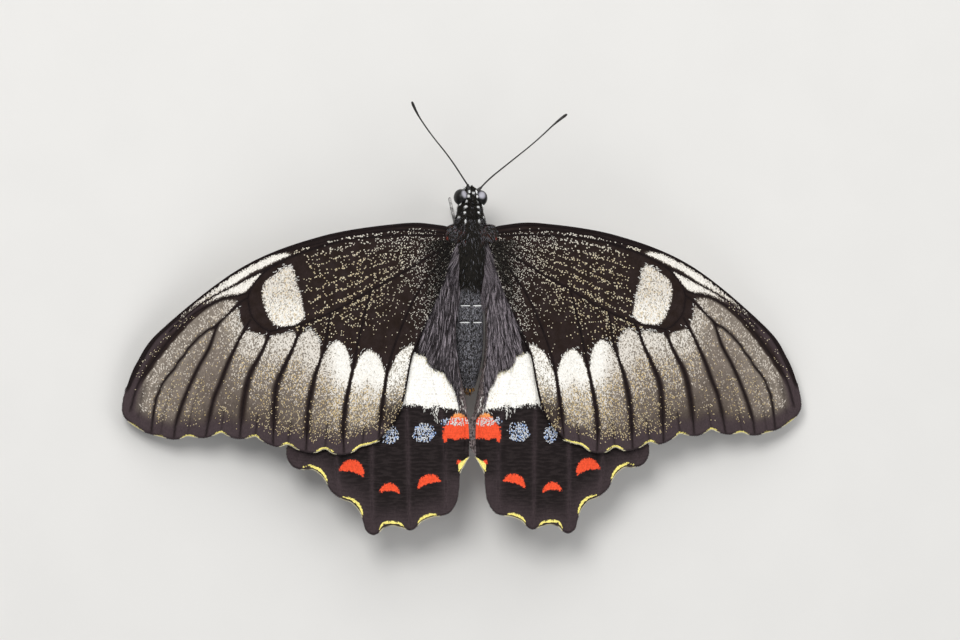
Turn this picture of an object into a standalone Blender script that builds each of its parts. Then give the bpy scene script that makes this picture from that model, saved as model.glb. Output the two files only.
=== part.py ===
"""A life-size swallowtail butterfly, the female orchard swallowtail, standing with its wings spread.

+Z is up and +Y is the way that the head points. The body lies in the plane x = 0, the feet stand on z = 0,
and the origin is on the floor under the middle of the model.
Run it with: blender --background --python part.py
"""

import math

import bmesh
import bpy
from mathutils import Matrix, Vector

MM = 0.001
GAP = 0.3 * MM  # between solids that touch in life
SIDES = {"left": -1, "right": 1}

# The height of the thorax's middle above the floor. Heights on the body and wings are given from there.
STANCE = 11.3

# Wings: they lie nearly level at their hinges and sag more and more towards their tips.
WING_THICKNESS = 0.5 * MM
HINGE = Vector((3.0, 13.0, 0.0)) * MM
HINGE_SLOPE = 0.105
TIP_SLOPE = 0.255
TIP_REACH = 57.0 * MM
SWEEP = {"left": math.radians(0.0), "right": math.radians(0.55)}  # how far each side is swung forward

# Each wing's edges, in millimetres from the body's axis and from the model's middle, with the wing laid flat.
# An outer edge is a list of lobes, one at each vein's end, with the depth of each notch between two of them.
FOREWING = {
    "height": 2.3,
    "colour": "wing_brown",
    "front": [(3.0, 15.4), (5.9, 16.1), (12.4, 16.35), (26.4, 14.1), (40.4, 8.6), (54.4, -2.2), (58.7, -7.9),
              (60.6, -12.3)],
    "outer": [(60.6, -12.3), (61.1, -15.6), (59.7, -18.4), (56.2, -20.5), (52.3, -21.2), (47.1, -21.3),
              (40.4, -21.3), (34.65, -22.7), (28.9, -23.9), (22.2, -24.1), (16.2, -21.6)],
    "notches": [-0.1, -0.2, 0.2, 0.2, 0.65, 1.15, 1.0, 0.8, 0.8, 0.1],
    "inner": [(3.0, 12.4), (5.4, 5.1), (8.9, -4.0), (11.9, -14.5), (16.2, -21.6)],
    "steps_out": 11,
    "steps_per_lobe": 4,
}
HINDWING = {
    "height": 1.2,
    "colour": "wing_black",
    "front": [(3.5, 11.4), (14.2, 6.8), (25.6, -5.8), (31.4, -17.0), (32.2, -22.8)],
    "outer": [(32.2, -22.8), (30.7, -26.5), (22.6, -31.7), (17.2, -38.0), (10.2, -36.8), (4.3, -34.2),
              (1.95, -28.2), (0.4, -24.4)],
    "notches": [-0.5, 1.9, 1.3, 1.5, 0.9, -0.8, 0.4],
    "inner": [(3.4, 7.6), (3.0, 3.0), (2.95, -4.0), (2.4, -8.8), (0.9, -16.0), (0.4, -20.0), (0.4, -24.4)],
    "steps_out": 9,
    "steps_per_lobe": 6,
}
WINGS = {"forewing": FOREWING, "hindwing": HINDWING}
CURVE_STEPS = 200  # in which a smooth edge is measured

# The body from the brow to the tip of the abdomen: place along the axis, half width, height of its middle
# from the stance and half height, in millimetres.
BODY_STATIONS = [
    (22.9, 0.0, 0.0, 0.0),
    (22.3, 0.95, 0.05, 1.3),
    (21.3, 1.15, 0.1, 1.75),
    (20.2, 1.15, 0.0, 1.8),
    (19.4, 1.8, 0.0, 1.8),
    (18.2, 2.15, 0.05, 2.1),
    (16.9, 2.55, 0.2, 2.7),
    (15.2, 3.15, 0.1, 3.2),
    (12.8, 3.6, 0.0, 3.6),
    (10.0, 3.5, -0.1, 3.6),
    (7.5, 3.05, -0.2, 3.2),
    (5.3, 2.4, -0.3, 2.6),
    (3.8, 2.25, -0.4, 2.4),
    (0.5, 2.5, -0.6, 2.65),
    (-3.5, 2.6, -0.8, 2.7),
    (-7.2, 2.4, -1.1, 2.5),
    (-10.2, 1.85, -1.4, 1.9),
    (-12.4, 1.1, -1.65, 1.15),
    (-13.6, 0.0, -1.8, 0.0),
]
BODY_SIDES = 16
BODY_RINGS = 48
FAR = 60 * MM  # past every end of the body
# Each part of the trunk runs from its rear end to the next one's, less a gap.
TRUNK = {"head": 19.5 * MM, "collar": 17.1 * MM, "thorax": 4.9 * MM, "abdomen": -FAR}

# The head, with all that it carries, is turned on the neck to its right, and tipped over to its right.
NECK = Vector((0.0, 19.35, STANCE)) * MM
HEAD_YAW = math.radians(-3.0)
HEAD_ROLL = math.radians(6.0)

EYE_CENTRE = Vector((1.85, 20.95, STANCE + 0.15)) * MM
EYE_RADII = Vector((1.35, 1.42, 1.6)) * MM
EYE_FLAT_X = 1.5 * MM  # the eye's flat inner face

ANTENNA_ROOT = Vector((1.05, 22.55, STANCE + 1.75)) * MM
ANTENNA_LENGTH = 21.8 * MM
ANTENNA_OUT = math.radians(43.0)  # from straight ahead
ANTENNA_UP = math.radians(30.5)
ANTENNA_WAVE = math.radians(5.0)  # how far its way out swings along its length
ANTENNA_STEPS = 60
ANTENNA_POINTS = 13
SHAFT_RADIUS = 0.26 * MM
CLUB_RADIUS = 0.4 * MM
CLUB_MIDDLE, CLUB_SPAN = 0.93, 0.2  # shares of the antenna's length

PALP_CENTRE = Vector((0.8, 22.8, STANCE - 1.2)) * MM
PALP_RADII = Vector((0.36, 0.5, 1.05)) * MM
TONGUE_CENTRE = Vector((0.0, 22.6, STANCE - 2.4)) * MM
TONGUE_RADIUS = 1.0 * MM
TONGUE_WIDTH = 0.5 * MM

# Legs: where each leaves the body, its knee, its ankle and its toe, for the left side, in millimetres.
# The ankle and the toe are at the height of the tarsus, which lies along the floor.
FOOT_Z = 0.2
LEGS = {
    "fore": [(-1.5, 14.9, STANCE - 3.5), (-3.4, 20.3, 8.6), (-6.4, 15.9, FOOT_Z), (-9.4, 12.0, FOOT_Z)],
    "mid": [(-2.3, 11.0, STANCE - 3.8), (-7.9, 9.6, 8.7), (-11.4, 5.2, FOOT_Z), (-15.6, 2.2, FOOT_Z)],
    "hind": [(-2.1, 7.0, STANCE - 3.7), (-6.4, 1.4, 8.5), (-8.8, -5.6, FOOT_Z), (-11.8, -11.4, FOOT_Z)],
}
RIGHT_FORE_KNEE = (3.4, 17.6, 8.2)  # the right foreleg is drawn back under the wing
LEG_RADII = {"hip": 0.42, "thigh": 0.5, "knee": 0.33, "shin": 0.3, "ankle": 0.27, "toe": 0.26}
LEG_BEND = 0.12  # the share of a length of leg that rounds its knee and its ankle

TUBE_SIDES_SETTING = 2
WELD = 1e-6

COLOURS = {
    "body_black": (0.022, 0.020, 0.022, 1),
    "eye_brown": (0.045, 0.035, 0.035, 1),
    "horn_black": (0.012, 0.010, 0.010, 1),
    "wing_brown": (0.055, 0.042, 0.038, 1),
    "wing_black": (0.020, 0.017, 0.018, 1),
}
ROUGHNESS = {"body_black": 0.75, "eye_brown": 0.2, "horn_black": 0.4, "wing_brown": 0.6, "wing_black": 0.6}


def clear_scene():
    for thing in list(bpy.data.objects):
        bpy.data.objects.remove(thing)
    collection = bpy.data.collections.new("swallowtail_butterfly")
    bpy.context.scene.collection.children.link(collection)
    return collection


def material(name):
    found = bpy.data.materials.get(name)
    if found:
        return found
    made = bpy.data.materials.new(name)
    made.use_nodes = True
    shader = made.node_tree.nodes["Principled BSDF"]
    shader.inputs["Base Color"].default_value = COLOURS[name]
    shader.inputs["Roughness"].default_value = ROUGHNESS[name]
    return made


def add(collection, name, bm, colour):
    """A named object from this bmesh, smooth over its round faces."""
    mesh = bpy.data.meshes.new(name)
    bmesh.ops.recalc_face_normals(bm, faces=bm.faces)
    bm.to_mesh(mesh)
    bm.free()
    mesh.materials.append(material(colour))
    mesh.shade_smooth()
    mesh.set_sharp_from_angle(angle=math.radians(40))
    made = bpy.data.objects.new(name, mesh)
    collection.objects.link(made)
    return made


def add_to_head(collection, name, bm, colour):
    """The same, turned with the head."""
    turn = Matrix.Rotation(HEAD_YAW, 4, "Z") @ Matrix.Rotation(HEAD_ROLL, 4, "Y")
    matrix = Matrix.Translation(NECK) @ turn @ Matrix.Translation(-NECK)
    bmesh.ops.transform(bm, matrix=matrix, verts=bm.verts)
    return add(collection, name, bm, colour)


def mirrored(place, side):
    return Vector((side * abs(place[0]), place[1], place[2]))


def through(points, share):
    """The place at this share of a smooth curve through the points, which count as evenly spaced along it."""
    last = len(points) - 1
    at = min(max(share, 0.0), 1.0) * last
    i = min(int(at), last - 1)
    t = at - i
    a, b = Vector(points[i]), Vector(points[i + 1])
    before = Vector(points[i - 1]) if i > 0 else a * 2 - b
    after = Vector(points[i + 2]) if i + 2 <= last else b * 2 - a
    leaving, arriving = (b - before) / 2, (after - a) / 2
    ends = a * (2 * t**3 - 3 * t**2 + 1) + b * (3 * t**2 - 2 * t**3)
    return ends + leaving * (t**3 - 2 * t**2 + t) + arriving * (t**3 - t**2)


def even(points):
    """The same curve as a function of its length: it takes a share and gives a place."""
    line = [through(points, k / CURVE_STEPS) for k in range(CURVE_STEPS + 1)]
    run = [0.0]
    for a, b in zip(line, line[1:]):
        run.append(run[-1] + (b - a).length)

    def at(share):
        want = share * run[-1]
        k = next((k for k in range(1, CURVE_STEPS + 1) if run[k] >= want), CURVE_STEPS)
        return line[k - 1].lerp(line[k], (want - run[k - 1]) / (run[k] - run[k - 1]))

    return at


def outer_edge(wing):
    """The points of the scalloped outer edge: the lobes, and a notch between each two."""
    lobes = [Vector(lobe) for lobe in wing["outer"]]
    edge = [lobes[0]]
    for a, b, depth in zip(lobes, lobes[1:], wing["notches"]):
        inward = Vector((b.y - a.y, a.x - b.x)).normalized()
        edge += [(a + b) / 2 + inward * depth, b]
    return edge


def laid_flat(wing):
    """A function that fills the wing between its edges: out from the hinge, across from front to rear."""
    front, inner, edge = even(wing["front"]), even(wing["inner"]), outer_edge(wing)

    def at(out, across):
        root = front(0).lerp(inner(0), across)
        tip = front(1).lerp(inner(1), across)
        straight = root * (1 - out) + tip * out
        return front(out).lerp(inner(out), across) + root * (1 - out) + through(edge, across) * out - straight

    return at


def spread(flat, height, sweep):
    """A place on the flat wing, in metres, moved to where the spread wing has it.

    The slope grows evenly with the reach, so the fall is its integral, and what the wing loses in x as it
    bends is half the integral of its square.
    """
    flat = HINGE + Matrix.Rotation(sweep, 3, "Z") @ (flat.to_3d() - HINGE)
    reach = flat.x - HINGE.x
    gain = (TIP_SLOPE - HINGE_SLOPE) / TIP_REACH * reach
    fall = reach * (HINGE_SLOPE + gain / 2)
    loss = reach * (HINGE_SLOPE**2 + HINGE_SLOPE * gain + gain**2 / 3) / 2
    return Vector((flat.x - loss, flat.y, height - fall))


def make_wings(collection):
    for name, wing in WINGS.items():
        at = laid_flat(wing)
        height = (STANCE + wing["height"]) * MM
        columns = wing["steps_per_lobe"] * len(wing["notches"])
        for side_name, side in SIDES.items():
            bm = bmesh.new()
            bmesh.ops.create_grid(bm, x_segments=wing["steps_out"], y_segments=columns, size=0.5)
            for vertex in bm.verts:
                place = spread(at(vertex.co.x + 0.5, vertex.co.y + 0.5) * MM, height, SWEEP[side_name])
                vertex.co = mirrored(place, side)
            made = add(collection, f"{name}_{side_name}", bm, wing["colour"])
            thick = made.modifiers.new("thickness", "SOLIDIFY")
            thick.thickness = WING_THICKNESS
            thick.offset = 0
            thick.use_even_offset = False


def whole_body():
    """The head, collar, thorax and abdomen as one closed form, before it is parted."""
    bm = bmesh.new()
    bmesh.ops.create_uvsphere(bm, u_segments=BODY_SIDES, v_segments=BODY_RINGS, radius=1)
    for vertex in bm.verts:
        share = math.acos(max(-1.0, min(1.0, vertex.co.z))) / math.pi
        turn = math.atan2(vertex.co.y, vertex.co.x)
        along, half_width, middle, half_height = through(BODY_STATIONS, share) * MM
        height = STANCE * MM + middle + half_height * math.sin(turn)
        vertex.co = (half_width * math.cos(turn), along, height)
    return bm


def cut(bm, place, towards):
    """Takes away what lies behind this plane, and closes the cut."""
    everything = bm.verts[:] + bm.edges[:] + bm.faces[:]
    found = bmesh.ops.bisect_plane(
        bm, geom=everything, dist=WELD / 100, plane_co=place, plane_no=towards, clear_inner=True)
    edges = [piece for piece in found["geom_cut"] if isinstance(piece, bmesh.types.BMEdge)]
    bmesh.ops.holes_fill(bm, edges=edges, sides=0)
    bmesh.ops.triangulate(bm, faces=[face for face in bm.faces if len(face.verts) > 4])


def make_trunk(collection):
    front = None
    for name, rear in TRUNK.items():
        bm = whole_body()
        if name != "abdomen":
            cut(bm, (0, rear, 0), (0, 1, 0))
        if front is not None:
            cut(bm, (0, front - GAP, 0), (0, -1, 0))
        front = rear
        place = add_to_head if name == "head" else add
        place(collection, name, bm, "body_black")


def ellipsoid(radii, centre, around, rings):
    bm = bmesh.new()
    bmesh.ops.create_uvsphere(bm, u_segments=around, v_segments=rings, radius=1)
    matrix = Matrix.Translation(centre) @ Matrix.Diagonal(radii).to_4x4()
    bmesh.ops.transform(bm, matrix=matrix, verts=bm.verts)
    return bm


def make_eyes(collection):
    for name, side in SIDES.items():
        bm = ellipsoid(EYE_RADII, mirrored(EYE_CENTRE, side), around=14, rings=9)
        cut(bm, (side * EYE_FLAT_X, 0, 0), (side, 0, 0))
        add_to_head(collection, f"eye_{name}", bm, "eye_brown")


def make_mouthparts(collection):
    for name, side in SIDES.items():
        bm = ellipsoid(PALP_RADII, mirrored(PALP_CENTRE, side), around=8, rings=7)
        add_to_head(collection, f"palp_{name}", bm, "body_black")
    bm = bmesh.new()
    matrix = Matrix.Translation(TONGUE_CENTRE) @ Matrix.Rotation(math.pi / 2, 4, "Y")
    bmesh.ops.create_cone(
        bm, cap_ends=True, segments=18, radius1=TONGUE_RADIUS, radius2=TONGUE_RADIUS, depth=TONGUE_WIDTH,
        matrix=matrix)
    add_to_head(collection, "proboscis", bm, "horn_black")


def tube(points, radii):
    """A closed tube along the points, as thick at each as its radius."""
    curve = bpy.data.curves.new("tube", "CURVE")
    curve.dimensions = "3D"
    curve.bevel_depth = 1.0
    curve.bevel_resolution = TUBE_SIDES_SETTING
    curve.use_fill_caps = True
    spline = curve.splines.new("POLY")
    spline.points.add(len(points) - 1)
    for target, point, radius in zip(spline.points, points, radii):
        target.co = (*point, 1)
        target.radius = radius
    guide = bpy.data.objects.new("tube", curve)
    bpy.context.scene.collection.objects.link(guide)
    bpy.context.view_layer.update()
    mesh = bpy.data.meshes.new_from_object(guide.evaluated_get(bpy.context.evaluated_depsgraph_get()))
    bpy.data.objects.remove(guide)
    bm = bmesh.new()
    bm.from_mesh(mesh)
    bmesh.ops.remove_doubles(bm, verts=bm.verts, dist=WELD)
    return bm


def antenna_line():
    """The shaft's points: it leaves the brow at an angle and swings a little along its length."""
    place = ANTENNA_ROOT.copy()
    line = [place.copy()]
    level, rise = math.cos(ANTENNA_UP), math.sin(ANTENNA_UP)
    for k in range(ANTENNA_STEPS):
        out = ANTENNA_OUT + ANTENNA_WAVE * math.sin(2 * math.pi * k / ANTENNA_STEPS)
        step = Vector((math.sin(out) * level, math.cos(out) * level, rise))
        place += step * ANTENNA_LENGTH / ANTENNA_STEPS
        line.append(place.copy())
    return line[::ANTENNA_STEPS // (ANTENNA_POINTS - 1)]


def make_antennae(collection):
    line = antenna_line()
    shares = [k / (len(line) - 1) for k in range(len(line))]
    swelling = [max(0.0, 1 - abs(share - CLUB_MIDDLE) / CLUB_SPAN) for share in shares]
    radii = [SHAFT_RADIUS + (CLUB_RADIUS - SHAFT_RADIUS) * part for part in swelling]
    for name, side in SIDES.items():
        bm = tube([mirrored(point, side) for point in line], radii)
        add_to_head(collection, f"antenna_{name}", bm, "horn_black")


def leg_line(hip, knee, ankle, toe):
    """The leg's points, with its knee and ankle rounded, and its radius at each."""
    r = LEG_RADII
    above_knee, below_knee = knee.lerp(hip, LEG_BEND), knee.lerp(ankle, LEG_BEND)
    above_ankle, past_ankle = ankle.lerp(knee, LEG_BEND), ankle.lerp(toe, 2 * LEG_BEND)
    line = [
        (hip, r["hip"]),
        (hip.lerp(knee, 0.35), r["thigh"]),
        (hip.lerp(knee, 0.7), (r["thigh"] + r["knee"]) / 2),
        (above_knee, r["knee"]),
        ((above_knee + knee * 2 + below_knee) / 4, r["knee"]),
        (below_knee, r["knee"]),
        (knee.lerp(ankle, 0.5), r["shin"]),
        (above_ankle, r["ankle"]),
        ((above_ankle + ankle * 2 + past_ankle) / 4, r["ankle"]),
        (past_ankle, r["ankle"]),
        (past_ankle.lerp(toe, 0.5), r["ankle"]),
        (toe, r["toe"]),
    ]
    return [point * MM for point, _ in line], [radius * MM for _, radius in line]


def make_legs(collection):
    for name, side in SIDES.items():
        for pair, joints in LEGS.items():
            places = [mirrored(joint, side) for joint in joints]
            if (pair, name) == ("fore", "right"):
                places[1] = Vector(RIGHT_FORE_KNEE)
            bm = tube(*leg_line(*places))
            cut(bm, (0, 0, 0), (0, 0, 1))
            add(collection, f"leg_{pair}_{name}", bm, "horn_black")


def main():
    collection = clear_scene()
    make_trunk(collection)
    make_eyes(collection)
    make_mouthparts(collection)
    make_antennae(collection)
    make_legs(collection)
    make_wings(collection)


main()
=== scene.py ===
"""The looks of a life-size swallowtail butterfly, the female orchard swallowtail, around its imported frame.

It is laid out as an add-on and run as a script. Lengths in the tables and in the arrays are in millimetres,
and become metres where a mesh is made. +Y is the way that the head points, and each wing's plan is drawn laid
flat, with x as the distance from the body's axis.
"""

import math

import bmesh
import bpy
import numpy as np
from bpy.props import FloatProperty, FloatVectorProperty, IntProperty, PointerProperty
from mathutils import Matrix, Vector


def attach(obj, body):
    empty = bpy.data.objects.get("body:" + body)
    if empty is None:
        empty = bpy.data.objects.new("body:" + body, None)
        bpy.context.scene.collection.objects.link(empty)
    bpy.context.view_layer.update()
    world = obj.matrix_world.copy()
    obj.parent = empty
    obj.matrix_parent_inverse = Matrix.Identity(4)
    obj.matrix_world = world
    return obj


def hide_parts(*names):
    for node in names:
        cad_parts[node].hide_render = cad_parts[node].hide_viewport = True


bl_info = {
    "name": "Swallowtail butterfly",
    "version": (1, 0, 0),
    "blender": (4, 5, 0),
    "location": "3D View > Sidebar > Butterfly",
    "description": "Builds the wings, coat, eyes, feelers and legs of a standing swallowtail butterfly",
    "category": "Object",
}

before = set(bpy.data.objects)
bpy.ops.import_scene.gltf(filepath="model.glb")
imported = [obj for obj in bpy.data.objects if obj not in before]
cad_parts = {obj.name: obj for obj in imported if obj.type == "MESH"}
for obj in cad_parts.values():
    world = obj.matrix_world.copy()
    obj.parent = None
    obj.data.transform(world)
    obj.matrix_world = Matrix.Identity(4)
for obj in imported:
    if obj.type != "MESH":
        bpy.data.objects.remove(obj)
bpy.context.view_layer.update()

MM = 0.001
PATCH = 0.003  # the size of one copy's patch on the unwrapped skin
SIDES = {"left": -1, "right": 1}

# ----------------------------------------------------------------------------
# The wings' plan
# ----------------------------------------------------------------------------

STANCE = 11.3  # the height of the thorax's middle above the floor
HINGE = np.array((3.0, 13.0))
HINGE_SLOPE, TIP_SLOPE, TIP_REACH = 0.105, 0.255, 57.0
SWEEP = {"left": 0.0, "right": math.radians(0.55)}

# Edges run from the hinge outwards, and the outer edge from the apex inwards round its scallops. Veins run
# outwards. A fold is a crease at the outer edge, and a yellow mark a line along a notch.
FOREWING = {
    "name": "forewing",
    "height": 2.3,
    "front": [(3.0, 15.4), (5.9, 16.1), (12.4, 16.35), (26.4, 14.1), (40.4, 8.6), (54.4, -2.2), (58.7, -7.9),
              (60.6, -12.3)],
    "outer": [(60.6, -12.3), (61.2, -15.1), (61.1, -17.0), (59.9, -18.5), (57.6, -19.9), (56.0, -20.5),
              (54.4, -20.9), (52.6, -21.3), (51.2, -21.2), (49.8, -20.75), (48.4, -20.95), (46.8, -21.05),
              (45.2, -20.6), (43.9, -20.15), (42.7, -20.7), (41.2, -21.2), (39.4, -21.1), (37.9, -20.8),
              (36.8, -21.5), (35.2, -22.3), (33.8, -22.6), (32.2, -22.2), (30.6, -23.0), (29.0, -23.5),
              (27.4, -23.6), (25.7, -23.0), (24.2, -23.8), (22.4, -23.95), (20.9, -23.5), (19.6, -22.6),
              (18.0, -22.2), (16.2, -21.6)],
    "inner": [(3.0, 12.4), (5.4, 5.1), (9.0, -3.2), (10.5, -7.2), (11.2, -11.0), (12.1, -15.1), (13.5, -18.2),
              (16.2, -21.6)],
    "steps_out": 150,
    "steps_across": 186,
    "veins": {
        "costa": [(3.4, 15.1), (6.0, 15.7), (12.4, 16.0), (26.4, 13.75), (40.3, 8.3), (54.1, -2.4),
                  (60.2, -12.3)],
        "subcosta": [(3.6, 14.7), (12.4, 15.2), (21.2, 14.3), (28.0, 12.6), (33.0, 11.4)],
        "radius_1": [(21.2, 13.5), (26.0, 12.6), (30.1, 11.1), (33.0, 9.9), (35.3, 8.7), (38.7, 7.0),
                     (42.0, 5.3), (46.0, 3.2), (50.0, 0.3), (53.0, -2.6)],
        "radius": [(3.6, 14.2), (12.4, 14.3), (21.2, 13.5), (29.9, 11.2), (33.4, 9.6), (36.6, 7.6),
                   (38.7, 4.9), (39.2, 3.2)],
        "radius_3": [(38.9, 4.3), (40.7, 3.8), (42.7, 3.5), (44.7, 2.7), (46.7, 1.7), (48.7, 0.5),
                     (51.6, -2.4), (55.0, -6.6), (58.4, -11.6), (59.9, -16.4)],
        "stalk": [(39.2, 3.4), (40.3, 2.7), (42.0, 1.2), (43.7, -0.5)],
        "radius_4": [(43.7, -0.5), (45.3, -1.8), (47.0, -2.8), (48.7, -4.4), (51.0, -7.4), (52.7, -9.7),
                     (54.4, -12.1), (55.5, -15.1), (56.2, -20.2)],
        "radius_5": [(43.7, -0.5), (44.7, -1.8), (46.0, -5.4), (47.7, -8.4), (49.3, -11.7), (50.7, -15.1),
                     (51.8, -18.5), (52.2, -21.0)],
        "cell_end": [(39.2, 3.2), (39.0, 1.9), (38.7, 0.6), (38.0, -0.6), (36.7, -1.8), (35.3, -2.5)],
        "media_1": [(38.8, -0.6), (40.3, -3.1), (41.3, -5.1), (42.7, -8.1), (44.0, -11.4), (45.3, -14.7),
                    (46.6, -20.8)],
        "media_2": [(35.3, -2.6), (36.3, -5.1), (37.3, -7.1), (39.0, -10.4), (40.0, -15.1), (40.6, -20.9)],
        "cubitus": [(3.6, 13.0), (12.4, 7.6), (17.7, 4.7), (22.1, 2.1), (26.4, 0.0), (30.1, -1.3),
                    (32.7, -1.9), (35.3, -2.5)],
        "media_3": [(29.6, -1.3), (30.3, -2.8), (31.3, -5.4), (32.7, -8.4), (34.0, -11.4), (34.5, -14.4),
                    (34.8, -22.1)],
        "cubitus_1": [(24.7, 0.9), (25.5, -4.0), (26.2, -6.6), (27.6, -10.8), (28.6, -16.0), (29.0, -23.2)],
        "cubitus_2": [(17.7, 4.7), (19.6, -3.0), (20.8, -8.9), (21.9, -14.2), (22.5, -19.0), (22.4, -23.6)],
        "anal": [(3.9, 11.8), (9.3, 4.6), (12.6, -2.4), (14.5, -8.2), (15.5, -14.0), (16.3, -21.0)],
    },
    "folds": [[(58.6, -18.6), (57.8, -13.5), (55.4, -8.8)], [(54.6, -20.6), (53.8, -16.2), (52.4, -12.2)],
              [(49.8, -20.6), (49.0, -16.0), (47.6, -11.8)], [(43.9, -20.0), (43.4, -16.4)],
              [(37.9, -20.6), (37.5, -17.2)], [(32.2, -22.0), (31.7, -18.4)], [(25.7, -22.9), (25.3, -18.4)],
              [(19.2, -22.2), (18.8, -18.9)]],
    "yellow": [[(60.0, -18.4), (57.8, -19.7)], [(55.3, -20.6), (53.9, -20.9)],
               [(50.8, -21.0), (49.8, -20.7), (48.4, -20.9)], [(45.2, -20.5), (43.9, -20.1), (42.7, -20.6)],
               [(39.3, -21.0), (37.9, -20.7), (36.7, -21.4)], [(33.4, -22.4), (32.2, -22.1), (30.5, -22.9)],
               [(27.3, -23.5), (25.7, -22.9), (24.1, -23.7)],
               [(20.9, -23.4), (19.6, -22.5), (18.0, -22.1), (16.5, -21.6)]],
    "yellow_width": 0.19,
}
HINDWING = {
    "name": "hindwing",
    "height": 1.2,
    "front": [(3.5, 11.4), (14.2, 6.8), (25.6, -5.8), (31.4, -17.0), (32.2, -22.8)],
    "outer": [(32.2, -22.8), (32.1, -24.6), (31.1, -26.1), (29.4, -26.6), (27.7, -26.6), (26.3, -27.5),
              (25.3, -28.8), (24.4, -30.4), (22.7, -31.7), (20.9, -32.4), (19.5, -33.9), (18.8, -35.7),
              (18.3, -37.3), (17.2, -38.0), (16.2, -37.6), (15.2, -36.7), (13.6, -36.4), (12.0, -36.8),
              (10.6, -37.2), (9.6, -36.6), (8.7, -35.7), (7.1, -35.0), (5.4, -34.7), (3.8, -34.1),
              (2.6, -32.2), (2.2, -29.7), (2.05, -27.4), (1.2, -25.7), (0.4, -24.4)],
    "inner": [(3.4, 7.6), (3.0, 3.0), (2.95, -4.0), (2.4, -8.8), (0.9, -16.0), (0.4, -20.0), (0.4, -24.4)],
    "steps_out": 130,
    "steps_across": 168,
    "veins": {
        "costa": [(4.2, 10.8), (14.2, 6.4), (25.3, -6.0), (31.0, -17.0), (31.9, -22.8)],
        "radius": [(4.6, 9.8), (13.0, 3.4), (21.0, -6.5), (27.0, -17.0), (30.4, -26.2)],
        "media_1": [(12.4, 3.0), (17.5, -6.0), (21.8, -16.0), (23.6, -25.0), (22.8, -31.3)],
        "media_3": [(11.5, -5.5), (14.6, -9.5), (16.8, -16.0), (17.4, -24.1), (17.3, -37.5)],
        "cell_end": [(15.8, -3.0), (14.2, -6.6), (11.3, -8.4)],
        "cubitus": [(4.4, 9.0), (7.2, 0.5), (9.8, -6.0), (11.2, -12.0), (11.2, -19.0), (11.0, -26.0),
                    (10.9, -32.0), (10.6, -36.8)],
        "cubitus_2": [(7.6, -0.6), (7.2, -8.0), (6.0, -14.0), (5.0, -18.2), (4.5, -24.1), (4.4, -30.0),
                      (4.35, -33.9)],
        "anal": [(3.7, 7.6), (3.6, 0.0), (3.3, -6.0), (2.4, -12.5), (1.3, -17.5), (1.1, -22.0), (1.9, -26.8)],
    },
    "folds": [],
    "yellow": [[(29.4, -26.25), (28.2, -26.0), (26.7, -26.6), (25.7, -27.6), (25.2, -28.8)],
               [(22.5, -31.4), (20.8, -31.9), (19.5, -33.1), (19.0, -34.6)],
               [(16.0, -37.1), (15.4, -36.1), (14.0, -35.9), (12.5, -36.1), (11.7, -36.8)],
               [(9.3, -36.0), (8.6, -35.2), (7.3, -34.6), (5.9, -34.6)],
               [(2.1, -26.9), (2.0, -25.9), (1.2, -25.2), (0.3, -24.6)],
               [(2.0, -26.6), (1.3, -25.7), (0.4, -24.6)]],
    "yellow_width": 0.25,
}
WINGS = (FOREWING, HINDWING)
# The hindwings' inner margins, which are folded, and where along each one the fold starts to fade out.
FOLD_LINE = {"left": [*HINDWING["inner"][:5], (0.5, -19.5)],
             "right": [*HINDWING["inner"][:5], (0.45, -20.0), (0.45, -24.6)]}
FOLD_FADE = {"left": 0.75, "right": 0.93}

# Areas of the pattern, as outlines on the plan.
PALE_SPACES = [(8.2, -5.6), (10.8, -4.9), (13.0, -6.4), (14.2, -8.2), (15.2, -9.0), (16.3, -6.9),
               (18.0, -5.7), (19.8, -6.9), (20.9, -8.4), (21.5, -6.4), (22.4, -4.8), (23.7, -4.2),
               (25.1, -5.0), (26.1, -5.8), (26.7, -3.8), (28.4, -2.1), (29.6, -2.6), (31.5, -2.5),
               (35.3, -3.1), (37.3, -2.9), (39.2, -2.2), (40.6, -0.2), (40.7, 2.0), (41.4, 2.9), (43.9, 2.9),
               (46.8, 1.2), (49.8, -1.4), (54.0, -6.2), (58.4, -12.5), (60.0, -17.5), (64.0, -19.0),
               (64.0, -30.0), (10.0, -30.0)]
# The pale streaks behind the front edge: pale scales, with a painted sheen in their whiteness.
PALE_STREAKS_AND_SHEEN = [
    [(32.3, 11.3), (34.3, 11.0), (37.0, 10.1), (40.3, 8.4), (43.0, 6.6), (45.7, 4.6), (48.4, 2.5),
     (51.0, 0.3), (50.2, 0.1), (47.0, 2.6), (43.6, 4.6), (41.6, 5.7), (38.6, 7.6), (36.3, 8.7),
     (33.3, 10.1), (31.7, 10.8)],
    [(34.6, 8.9), (36.2, 8.4), (38.2, 7.3), (40.3, 6.4), (43.0, 4.9), (45.2, 3.7), (47.6, 2.1), (46.4, 2.3),
     (44.3, 3.3), (41.6, 3.9), (39.8, 4.2), (38.7, 5.3), (37.0, 7.1)],
]
CELL_PATCH = [(36.3, 6.2), (34.3, 7.7), (32.4, 8.9), (31.4, 8.6), (30.7, 6.4), (30.0, 4.1), (29.5, 1.7),
              (29.3, 0.1), (30.7, -1.3), (33.3, -1.7), (35.0, -0.9), (36.0, 1.1), (36.7, 3.1), (36.7, 4.9)]
WHITE_PATCH = [(14.5, -5.5), (10.3, -6.5), (9.1, -6.5), (7.9, -7.1), (7.0, -8.8), (5.8, -9.5), (4.4, -10.0),
               (3.7, -11.4), (2.8, -13.3), (1.9, -15.2), (1.7, -16.3), (2.7, -16.2), (3.9, -16.0),
               (5.1, -15.9), (6.5, -15.6), (7.5, -16.0), (9.1, -15.4), (11.3, -15.3), (14.5, -15.0)]
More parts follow.
